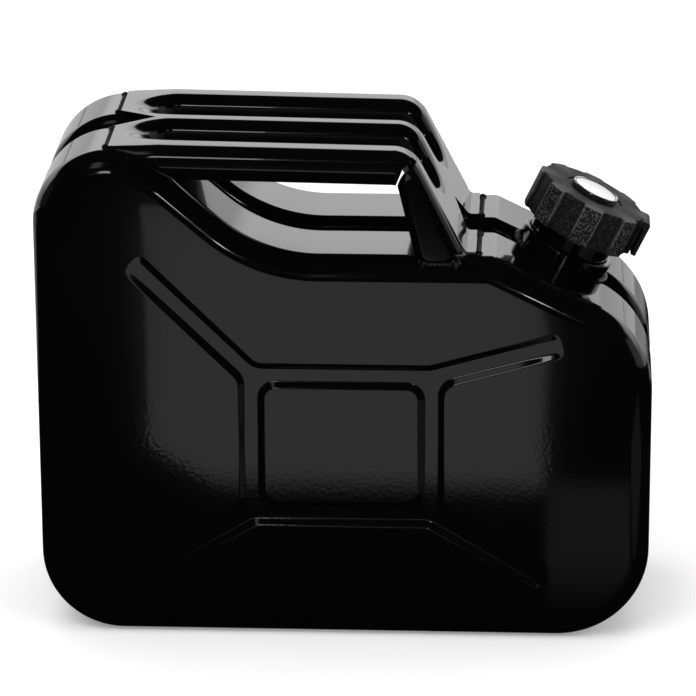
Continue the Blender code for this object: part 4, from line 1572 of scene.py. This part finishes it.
@dataclass
class WeldBead:
    """Rippled weld bead that swells to a blob at each end."""

    name: str
    node: str
    start: Vector
    end: Vector
    out: Vector
    width: float = 2.7 * MM
    height: float = 1.1 * MM
    ripple: float = 2.4 * MM
    ripple_steps: int = 6
    ripple_share: float = 0.30
    ripple_level: float = 0.5
    blob_scale: float = 1.6
    blob_share: float = 0.06

    def size(self, share: float, ripples: int) -> float:
        """Work out how thick the bead is.

        Args:
            share: share of its length.
            ripples: number of ripples along it.

        Returns:
            The thickness as a share of its plain one.
        """
        ripple = math.sin(TURN * ripples * share) - self.ripple_level
        near_end = min(share, 1 - share) / self.blob_share
        blob = max(1 - (near_end - 1) ** 2, 0) * (self.blob_scale - 1)
        return (1 + self.ripple_share * ripple) * (1 + blob) * rounded_tip(near_end * 2)

    def build(self, material: Material) -> None:
        """Build the bead along its seat, dress it and hand it to the frame.

        Args:
            material: the enamel over the weld.
        """
        run = self.end - self.start
        ripples = round(run.length / self.ripple)
        steps = ripples * self.ripple_steps
        bm = bmesh.new()
        disc(bm, 1, 0, BEAD_SEGMENTS)
        bmesh.ops.scale(bm, vec=(self.width / 2, self.height, 1), verts=bm.verts)
        sizes = [self.size(step / steps, ripples) for step in range(steps + 1)]
        grow_bead(bm, Vector(), Matrix.Translation((0, 0, run.length / steps)), sizes)
        place = Matrix((self.out, UP, run.normalized())).transposed().to_4x4()
        place.translation = self.start + self.out * self.width / 2
        bmesh.ops.transform(bm, matrix=place, verts=bm.verts)
        bead = make_piece(self.name, bm, material)
        dress(bead, Body.CAN, Slot.PAINT, self.node, BEAD_ANGLE)


def handle_beads(outline: CanOutline, handle: TripleHandle) -> list[WeldBead]:
    """Beads behind the tongues, in front of the feet and along the leg's flanges.

    Args:
        outline: the can's outline.
        handle: the handle that they hold.

    Returns:
        The six beads.
    """
    beads = []
    fillet = outline.side_fillet
    reach = handle.half_width + handle.leg_fold
    slope_drop = fillet - math.sqrt(fillet**2 - handle.leg_fold**2)
    ends = (
        ("tongue", handle.rear_x - GAP, outline.crest_height, -1),
        ("foot", handle.foot_x + handle.foot_lip + GAP, outline.recess_height, 1),
    )
    for side in Side:
        word = side.name.lower()
        for place, x, z, way in ends:
            outer = Vector((x, side.value * handle.half_width, z))
            inner = Vector((x, side.value * CHANNEL_HALF_WIDTH, z))
            out = Vector((way, 0, 0))
            name, node = f"{place}_bead_{word}", f"{place}_weld_{word}"
            beads.append(WeldBead(name, node, outer, inner, out))
        tail, head = (
            Vector((handle.foot_x - back, side.value * reach, outline.recess_height - slope_drop))
            for back in (LEG_BEAD_TAIL, LEG_BEAD_HEAD)
        )
        beads.append(
            WeldBead(
                f"leg_bead_{word}",
                f"leg_weld_{word}",
                tail,
                head,
                Vector((0, side.value, 0)),
                width=2.2 * MM,
                height=1.3 * MM,
                ripple_share=0.06,
                blob_scale=2.4,
                blob_share=0.11,
            )
        )
    return beads


# ---------------------------------------------------------------- neck and cap


@dataclass
class FillerNeck:
    """Slanted neck, whose turned inside comes from the frame, and its collar."""

    foot: Vector = field(default_factory=lambda: Vector((122.404, 0, 210.177)) * MM)
    outer_radius: float = 24.3 * MM
    collar_radius: float = 27.8 * MM
    collar_height: float = 10 * MM
    collar_round: float = 1.2 * MM
    collar_chamfer: float = 0.5 * MM
    cutter_length: float = 50 * MM
    steps: int = 96

    def frame(self) -> Matrix:
        """Frame of the neck: origin on the shoulder, z along the neck."""
        return Matrix.Translation(self.foot) @ Matrix.Rotation(SLOPE, 4, "Y")

    def cutter(self, radius: float) -> Object:
        """Make a cylinder round the neck's axis through the can's skin.

        Args:
            radius: its radius.

        Returns:
            The cylinder.
        """
        bm = bmesh.new()
        bmesh.ops.create_cone(
            bm,
            cap_ends=True,
            segments=self.steps,
            radius1=radius,
            radius2=radius,
            depth=self.cutter_length,
            matrix=self.frame(),
        )
        return make_object("cutter", bm)

    def build(self, material: Material) -> None:
        """Build the collar, a short ring with a rounded upper edge.

        Args:
            material: the enamel.
        """
        bm = bmesh.new()
        inner, outer, soft = self.outer_radius + GAP, self.collar_radius, self.collar_round
        top, chamfer = self.collar_height, self.collar_chamfer
        profile = [(inner, -CHANNEL_DEPTH), (outer, -CHANNEL_DEPTH), (outer, top - soft)]
        profile += quarter_arc(outer, top - soft, -soft, soft, 5)
        spin_wall(bm, profile + [(inner + chamfer, top), (inner, top - chamfer)], self.steps)
        tidy(bm)
        bmesh.ops.transform(bm, matrix=self.frame(), verts=bm.verts)
        dress(make_piece("neck_collar", bm, material), Body.CAN, Slot.PAINT, "filler_collar", 50)


@dataclass
class CollarBead:
    """Rippled weld bead where the collar crosses the channel."""

    neck: FillerNeck
    word: str
    middle: float
    radius: float = 1.4 * MM
    stand_off: float = 0.4 * MM
    overlap: float = 1.08
    steps: int = 60
    ripples: int = 11
    ripple_share: float = 0.22
    swell: float = 0.35
    swell_share: float = 0.12
    tip_share: float = 0.06

    def size(self, share: float) -> float:
        """Work out how thick the bead is.

        Args:
            share: share of its length.

        Returns:
            The thickness as a share of its plain one.
        """
        near_end = min(share, 1 - share)
        ripple = self.ripple_share * math.sin(TURN * self.ripples * share)
        blob = self.swell * (1 - min(near_end / self.swell_share, 1))
        return (1 + ripple) * (1 + blob) * rounded_tip(near_end / self.tip_share)

    def build(self, material: Material) -> None:
        """Build the bead round the collar, dress it and hand it to the frame.

        Args:
            material: the enamel over the weld.
        """
        half = math.asin(CHANNEL_HALF_WIDTH / self.neck.collar_radius) * self.overlap
        start = Matrix.Rotation(self.middle - half, 4, "Z")
        centre = Vector((self.neck.collar_radius + self.stand_off, 0, 0))
        bm = bmesh.new()
        disc(bm, self.radius, 0, BEAD_SEGMENTS)
        place = start @ Matrix.Translation(centre) @ Matrix.Rotation(QUARTER, 4, "X")
        bmesh.ops.transform(bm, matrix=place, verts=bm.verts)
        sizes = [self.size(step / self.steps) for step in range(self.steps + 1)]
        grow_bead(bm, start @ centre, Matrix.Rotation(2 * half / self.steps, 4, "Z"), sizes)
        bmesh.ops.transform(bm, matrix=self.neck.frame(), verts=bm.verts)
        bead = make_piece(f"collar_bead_{self.word}", bm, material)
        dress(bead, Body.CAN, Slot.PAINT, f"collar_weld_{self.word}", BEAD_ANGLE)


@dataclass
class ScrewCap:
    """Lobed plastic cap with a hanging tab, a bright rim and a plain domed disc."""

    neck: FillerNeck
    top: float = 42.9 * MM
    height: float = 23.3 * MM
    top_plate: float = 2.8 * MM
    radius: float = 33.5 * MM
    waist: float = 31.5 * MM
    bore: float = 26.9 * MM
    lobes: int = 8
    lobe_share: float = 0.42
    ramp_share: float = 0.07
    edge: float = 0.9 * MM
    top_chamfer: float = 1.2 * MM
    top_ledge: float = 2.2 * MM
    # The next four fields place a painted highlight on the lobes' upright edges and on the top's
    # shoulder.
    highlight_share: float = 0.03
    highlight_band: float = 2.4 * MM
    highlight_upright: float = 0.45
    highlight_top: float = 0.8
    tab_reach: float = 36.6 * MM
    tab_sheet: float = 2.8 * MM
    tab_width: float = 19 * MM
    tab_height: float = 21 * MM
    tab_root: float = 4 * MM
    tab_overlap: float = 2 * MM
    tab_round: float = 1.4 * MM
    tab_bevel: float = 0.5 * MM
    dish_mm: tuple = ((0, 0), (0.25, -0.1), (0.4, -0.7), (3.0, -0.7), (3.4, -0.8))
    badge_radius: float = 12.8 * MM
    badge_play: float = 0.1 * MM
    badge_drop: float = 0.8 * MM
    rim_width: float = 1.2 * MM
    rim_height: float = 2.6 * MM
    dome: float = 1.2 * MM
    dome_steps: int = 12
    dome_share: float = 0.96
    segments: int = 320
    round_segments: int = 96

    @property
    def seat(self) -> float:
        """Height at which the rim and the disc stand in the dish."""
        return self.top + self.dish_mm[-1][1] * MM + self.badge_play

    def lobe_place(self, spot: Vector) -> float:
        """Place of a point between two lobes' middles, from -0.5 to 0.5 with a lobe at 0."""
        return (math.atan2(spot.y, spot.x) * self.lobes / TURN + 0.5) % 1 - 0.5

    def lobe_reach(self, spot: Vector) -> float:
        """Find the lobed outline's radius.

        Args:
            spot: a point at the same angle.

        Returns:
            The radius.
        """
        share = (abs(self.lobe_place(spot)) - self.lobe_share / 2) / self.ramp_share
        share = min(max(share, 0), 1)
        return self.radius + (self.waist - self.radius) * share * share * (3 - 2 * share)

    def build_shell(self, material: Material) -> None:
        """Build the cap's lobed body with its bore, chamfers and recessed top.

        Args:
            material: the plastic.
        """
        bm = bmesh.new()
        bottom = self.top - self.height
        top_face = disc(bm, 1, bottom + self.edge, self.segments)
        for vertex in bm.verts:
            vertex.co.xy *= self.lobe_reach(vertex.co)
        wall = self.height - self.edge - self.top_chamfer
        chamfer = quarter_arc(0, wall, self.top_chamfer, self.top_chamfer, 5)
        section = [(0, 0), (0, 0.35 * wall), (0, 0.7 * wall), (0, wall), *chamfer]
        press(bm, top_face, section + [(self.top_ledge, chamfer[-1][1])])
        border = list(top_face.edges)
        bmesh.ops.delete(bm, geom=[top_face], context="FACES_ONLY")
        dish_section = [(inset * MM, height * MM) for inset, height in self.dish_mm]
        hub = self.badge_radius + self.rim_width + GAP + dish_section[-1][0]
        known = set(bm.edges)
        bmesh.ops.create_circle(
            bm,
            segments=self.round_segments,
            radius=hub,
            matrix=Matrix.Translation((0, 0, self.top)),
        )
        hub_edges = [edge for edge in bm.edges if edge not in known]
        fill_flat(bm, border + hub_edges, UP)
        press(bm, loop_face(bm, hub_edges, UP), dish_section)
        low = open_edges(bm)
        for inset, height in ((0.4 * self.edge, self.edge / 4), (0.6 * self.edge, 0)):
            low = extrude_edges(
                bm, low, lambda spot: at_reach(spot, spot.xy.length - inset, bottom + height)
            )
        ceiling = self.top - self.top_plate
        mouth = (self.bore + self.edge, bottom), (self.bore, bottom + self.edge)
        for radius, height in (*mouth, (self.bore, ceiling)):
            low = extrude_edges(bm, low, lambda spot: at_reach(spot, radius, height))
        loop_face(bm, low, -UP)
        tidy(bm)
        cap = make_piece("lobed_cap", bm, material)
        cut(cap, self.tab(), "UNION")
        self.mark_edge_highlight(cap)
        self.finish(cap, Slot.PLASTIC, "cap_shell", 30)

    def mark_edge_highlight(self, cap: Object) -> None:
        """Store how much painted highlight each vertex gets on its lobe's edges and on the top's
        shoulder, and whether it is grained.

        Args:
            cap: the cap, still on the z axis.
        """
        marks = {"edge_highlight": [], "grain": []}
        half = self.lobe_share / 2
        for vertex in cap.data.vertices:
            place = abs(self.lobe_place(vertex.co))
            outside = vertex.co.xy.length > self.waist - self.highlight_band
            upright = 1 - abs(place - half) / self.highlight_share
            under_top = vertex.co.z - self.top + 0.25 * self.top_chamfer
            shoulder = 1 - abs(under_top) / (0.4 * self.top_chamfer)
            above_foot = vertex.co.z > self.top - 0.9 * self.height
            # Painted highlight on the lobe's upright edges and on the top's shoulder, only near
            # the outside.
            highlighted = max(
                self.highlight_upright * upright * above_foot,
                self.highlight_top * shoulder * (place < half),
                0.0,
            )
            marks["edge_highlight"].append(highlighted * outside)
            marks["grain"].append(float(place < half and outside))
        for name, values in marks.items():
            cap.data.attributes.new(name, "FLOAT", "POINT").data.foreach_set("value", values)

    def tab(self) -> Object:
        """Make the tab that hangs down outside one lobe, joined to the cap at its top.

        Returns:
            The tab.
        """
        bm = bmesh.new()
        outer, inner = self.tab_reach, self.tab_reach - self.tab_sheet
        root = self.waist - self.tab_overlap
        top = self.top - self.top_chamfer / 2
        shelf, bottom = top - self.tab_root, top - self.tab_height
        half, soft = self.tab_width / 2, self.tab_round
        profile = [(root, top), (outer - soft, top), (outer - 0.4 * soft, top - 0.4 * soft)]
        profile += [(outer, top - soft), (outer, bottom), (inner, bottom)]
        profile += [(inner, shelf), (root, shelf)]
        face = bm.faces.new([bm.verts.new((x, -half, z)) for x, z in profile])
        made = bmesh.ops.extrude_face_region(bm, geom=[face])["geom"]
        moved = [item for item in made if isinstance(item, BMVert)]
        bmesh.ops.translate(bm, vec=(0, 2 * half, 0), verts=moved)
        tidy(bm)
        sides = [edge for edge in bm.edges if abs(edge.verts[0].co.y - edge.verts[1].co.y) < WELD]
        bmesh.ops.bevel(
            bm,
            geom=[edge for edge in sides if min(each.co.x for each in edge.verts) > inner - WELD],
            offset=self.tab_bevel,
            offset_type="OFFSET",
            affect="EDGES",
            segments=3,
            profile=0.5,
            material=-1,
        )
        return make_object("tab", bm)

    def finish(self, piece: Object, slot: Slot, node: str, angle: float | None) -> None:
        """Put a piece that was built on the z axis on to the neck, and hand it to the frame.

        Args:
            piece: the piece.
            slot: slot of the record meant for its finish, handed on to dress.
            node: CAD node that it stands for.
            angle: edges that turn by more degrees than this are shaded sharp, if any are.
        """
        piece.data.transform(self.neck.frame())
        dress(piece, Body.CAP, slot, node, angle)

    def build_rim(self, material: Material) -> None:
        """Build the bright rim round the badge, a ring with a rounded top.

        Args:
            material: the plating.
        """
        bm = bmesh.new()
        inner, soft = self.badge_radius, self.rim_width / 2
        level = self.top + self.rim_height - soft
        turns = [math.pi * step / 8 for step in range(9)]
        crown = [(inner + soft + soft * math.cos(a), level + soft * math.sin(a)) for a in turns]
        profile = [(inner, self.seat), (inner + self.rim_width, self.seat), *crown]
        spin_wall(bm, profile, self.round_segments)
        tidy(bm)
        self.finish(make_piece("badge_rim", bm, material), Slot.RIM, "cap_badge_rim", None)

    def build_badge(self, material: Material) -> None:
        """Build the plain domed disc, a low cap with a tight edge.

        Args:
            material: the resin.
        """
        bm = bmesh.new()
        radius = self.badge_radius - self.badge_play
        edge = self.top + self.rim_height - self.badge_drop
        section = [(0, self.seat), (0, edge)]
        for step in range(1, self.dome_steps + 1):
            angle = QUARTER * self.dome_share * step / self.dome_steps
            section.append((radius * (1 - math.cos(angle)), edge + self.dome * math.sin(angle)))
        press(bm, disc(bm, radius, self.seat, self.round_segments), section)
        bmesh.ops.holes_fill(bm, edges=bm.edges, sides=0)
        tidy(bm)
        self.finish(make_piece("plain_badge", bm, material), Slot.BADGE, "cap_badge", 40)


# ---------------------------------------------------------------- the studio


class Patch(NamedTuple):
    """Soft-edged patch of light: its power and, for each edge, its axis, start and full place."""

    power: float
    sides: tuple[tuple[str, float, float], ...]


class Lamp(NamedTuple):
    """Soft lamp: its name, place, width and height, watts, and whether gloss shows it."""

    name: str
    place: tuple[float, float, float]
    size: tuple[float, float]
    watts: float
    mirrored: bool = False


# Cards in front, low, at the side and at the left, then the bright band behind the can.
FLOOR_PATCHES = (
    Patch(
        0.34,
        (
            ("slant", -0.1068, -0.1008),
            ("x", 0.120, 0.108),
            ("corner", -0.166, -0.186),
            ("y", -0.285, -0.345),
            ("y", -0.935, -0.915),
        ),
    ),
    Patch(
        0.085,
        (("x", 0.112, 0.120), ("x", 0.24, 0.18), ("y", -0.09, -0.22), ("y", -0.345, -0.300)),
    ),
    Patch(0.07, (("x", 0.22, 0.26), ("x", 0.50, 0.44), ("y", -0.12, -0.20), ("y", -0.42, -0.36))),
    Patch(0.22, (("x", -0.38, -0.46), ("x", -1.6, -1.3), ("y", 0.20, 0.36), ("y", 0.9, 0.7))),
    Patch(0.55, (("y", 1.15, 1.40),)),
    Patch(0.55, (("x", -0.20, -0.30), ("y", 0.68, 0.98))),
    Patch(0.25, (("x", 0.24, 0.34), ("x", 0.9, 0.7), ("y", 0.30, 0.46))),
)
# Band behind the can, its skyline, the two sides, and a window in front.
WORLD_PATCHES = (
    Patch(1.0, (("z", 0.08, 0.24), ("z", 0.50, 0.42), ("y", 0.15, 0.30))),
    Patch(0.6, (("z", -0.02, 0.0), ("z", 0.30, 0.25), ("y", 0.15, 0.30))),
    Patch(0.04, (("x", -0.85, -0.92), ("z", -0.02, 0.0), ("z", 0.45, 0.35))),
    Patch(0.25, (("x", 0.85, 0.92), ("z", -0.02, 0.0), ("z", 0.45, 0.35))),
    Patch(
        0.38,
        (("x", -0.16, -0.22), ("x", -0.36, -0.31), ("y", -0.40, -0.50), ("z", 0.52, 0.60)),
    ),
)
LAMPS = (
    Lamp("key", (-0.9, -1.5, 2.2), (1.6, 1.6), 26),
    Lamp("fill", (1.8, -1.2, 1.4), (1.6, 1.6), 12),
    Lamp("top", (0, 0.6, 2.4), (2.2, 2.2), 26),
    Lamp("right strip", (0.43, -1.98, 0.56), (0.10, 0.10), 0.35, True),
    Lamp("left window", (-0.27, -1.57, 0.585), (0.25, 0.27), 0.6, True),
)


@dataclass
class Studio:
    """Pale floor, soft lamps, bright background and the camera at the photograph's angle."""

    target: Vector = field(default_factory=lambda: Vector((-0.6, 0, 152.4)) * MM)
    aim: Vector = field(default_factory=lambda: Vector((0, 0, 0.15)))
    distance: float = 2.4
    yaw: float = math.radians(3.06)
    pitch: float = math.radians(19.17)
    roll: float = math.radians(-0.25)
    focal_px: float = 4124.6
    image_px: float = 696
    sensor_mm: float = 36
    clip_end: float = 100
    mirror_dark: float = 0.003
    card_slant: float = 0.1056
    card_skew: float = 1.43
    floor_size: float = 12
    floor_lift: float = 0.22
    world_fill: float = 0.55

    def add_camera(self) -> None:
        """Place the camera that looks at the can as the photograph does."""
        sine, cosine = math.sin(self.pitch), math.cos(self.pitch)
        out = Vector((math.sin(self.yaw) * cosine, -math.cos(self.yaw) * cosine, sine))
        right = -out.cross(UP).normalized()
        up = out.cross(right)
        level = right * math.cos(self.roll) + up * math.sin(self.roll)
        raised = up * math.cos(self.roll) - right * math.sin(self.roll)
        matrix = Matrix((level, raised, out)).transposed().to_4x4()
        matrix.translation = self.target + out * self.distance
        data = bpy.data.cameras.new("camera")
        data.sensor_width = self.sensor_mm
        data.lens = self.sensor_mm * self.focal_px / self.image_px
        data.clip_end = self.clip_end
        camera = add_object("camera", data)
        camera.matrix_world = matrix
        bpy.context.scene.camera = camera

    def add_lamp(self, lamp: Lamp) -> None:
        """Hang a lamp that faces the can.

        Args:
            lamp: the lamp.
        """
        data = bpy.data.lights.new(lamp.name, "AREA")
        data.shape = "RECTANGLE"
        data.size, data.size_y = lamp.size
        data.energy = lamp.watts
        hung = add_object(lamp.name, data)
        hung.location = lamp.place
        hung.rotation_euler = (self.aim - hung.location).to_track_quat("-Z", "Y").to_euler()
        hung.visible_glossy = lamp.mirrored

    def mirror_light(
        self, tree: NodeTree, axes: dict[str, NodeSocket], patches: Sequence[Patch]
    ) -> NodeSocket:
        """Light that mirrors see: the brightest patch, with a little light between them.

        Args:
            tree: node tree that gets it.
            axes: the places along each axis.
            patches: the patches.

        Returns:
            The socket that carries the strength.
        """
        brightest = {}
        for patch in patches:
            mask = {}
            for axis, dark, full in patch.sides:
                ramp = add_node(
                    tree,
                    "MapRange",
                    {"interpolation_type": "SMOOTHSTEP", "From Min": dark, "From Max": full},
                    {"Value": axes[axis]},
                )
                mask[0] = ramp.outputs[0]
                settings = {"operation": "MULTIPLY", 1: patch.power}
                mask[1] = add_node(tree, "Math", settings, mask).outputs[0]
            brightest[0] = mask[1]
            settings = {"operation": "MAXIMUM", 1: self.mirror_dark}
            brightest[1] = add_node(tree, "Math", settings, brightest).outputs[0]
        return brightest[1]

    def floor_material(self) -> Material:
        """Make the floor: diffuse, lifted to white for the camera, and cards of light in mirrors.

        Returns:
            The material.
        """
        material = bpy.data.materials.new("pale floor")
        tree = start_tree(material)
        place = add_node(tree, "TexCoord").outputs["Object"]
        split = add_node(tree, "SeparateXYZ", links={0: place}).outputs
        axes = {"x": split["X"], "y": split["Y"]}
        leaning = (("slant", "y", "x", self.card_slant), ("corner", "x", "y", self.card_skew))
        for name, scaled, added, lean in leaning:
            axes[name] = add_node(
                tree,
                "Math",
                {"operation": "MULTIPLY_ADD", 1: -lean},
                {0: axes[scaled], 2: axes[added]},
            ).outputs[0]
        light = {"Strength": self.mirror_light(tree, axes, FLOOR_PATCHES)}
        matt = add_node(tree, "BsdfDiffuse", {"Color": hex_colour("#f2f2f2")}).outputs[0]
        lift = add_node(tree, "Emission", {"Color": WHITE, "Strength": self.floor_lift}).outputs[0]
        seen = add_node(tree, "AddShader", links={0: matt, 1: lift}).outputs[0]
        mirrored = add_node(tree, "Emission", {"Color": WHITE}, light).outputs[0]
        ray = add_node(tree, "LightPath").outputs
        surface = matt
        for kind, chosen in (("Is Camera Ray", seen), ("Is Glossy Ray", mirrored)):
            links = {0: ray[kind], 1: surface, 2: chosen}
            surface = add_node(tree, "MixShader", links=links).outputs[0]
        add_node(tree, "OutputMaterial", links={"Surface": surface})
        return material

    def add_floor(self) -> None:
        """Lay the plain floor that the can stands on."""
        bm = bmesh.new()
        bmesh.ops.create_grid(bm, x_segments=1, y_segments=1, size=self.floor_size)
        floor = make_object("floor", bm)
        floor.data.materials.append(self.floor_material())

    def set_world(self) -> None:
        """White background; mirrors see it as a bright band behind the can and dark elsewhere."""
        world = bpy.data.worlds.new("studio")
        bpy.context.scene.world = world
        tree = start_tree(world)
        way = add_node(tree, "TexCoord").outputs["Generated"]
        split = add_node(tree, "SeparateXYZ", links={0: way}).outputs
        axes = {axis.lower(): split[axis] for axis in "XYZ"}
        light = {"Strength": self.mirror_light(tree, axes, WORLD_PATCHES)}
        mirrored = add_node(tree, "Background", {"Color": WHITE}, light).outputs[0]
        fill, white = (
            add_node(tree, "Background", {"Color": WHITE, "Strength": strength}).outputs[0]
            for strength in (self.world_fill, 1.0)
        )
        ray = add_node(tree, "LightPath").outputs
        surface = fill
        for kind, chosen in (("Is Glossy Ray", mirrored), ("Is Camera Ray", white)):
            links = {0: ray[kind], 1: surface, 2: chosen}
            surface = add_node(tree, "MixShader", links=links).outputs[0]
        add_node(tree, "OutputWorld", links={"Surface": surface})

    def build(self) -> None:
        """Set up the floor, the background, the lamps and the camera."""
        self.add_floor()
        self.set_world()
        for lamp in LAMPS:
            self.add_lamp(lamp)
        self.add_camera()
        bpy.context.scene.view_settings.view_transform = "Standard"


def main() -> None:
    """Build the can's pieces in order, then the studio."""
    logging.basicConfig(level=logging.INFO, format="%(name)s %(message)s")
    enamel = GlossEnamel().build()
    weld = GlossEnamel(
        name="enamel over weld", roughness=0.3, lacquer_roughness=0.08, nib_height_mm=0.05
    ).build()

    outline = CanOutline()
    neck = FillerNeck()
    for side in Side:
        CanShell(outline, SidePressing(), side).build(enamel, neck)
    SeamBead(outline).build(weld, neck)
    handle = TripleHandle()
    handle.build(enamel)
    for bead in handle_beads(outline, handle):
        bead.build(weld)
    neck.build(enamel)
    for word, middle in (("low", 0), ("high", math.pi)):
        CollarBead(neck, word, middle).build(weld)
    cap = ScrewCap(neck)
    cap.build_shell(GrainedPlastic().build())
    cap.build_rim(BrightPlate().build())
    cap.build_badge(DomedResin().build())
    for node, material in (("filler_neck", enamel), ("cap_gasket", SealRubber().build())):
        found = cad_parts[node]
        found.data.materials.clear()
        found.data.materials.append(material)
        log.info("%s: kept from the frame", node)
    Studio().build()


if __name__ == "__main__":
    main()
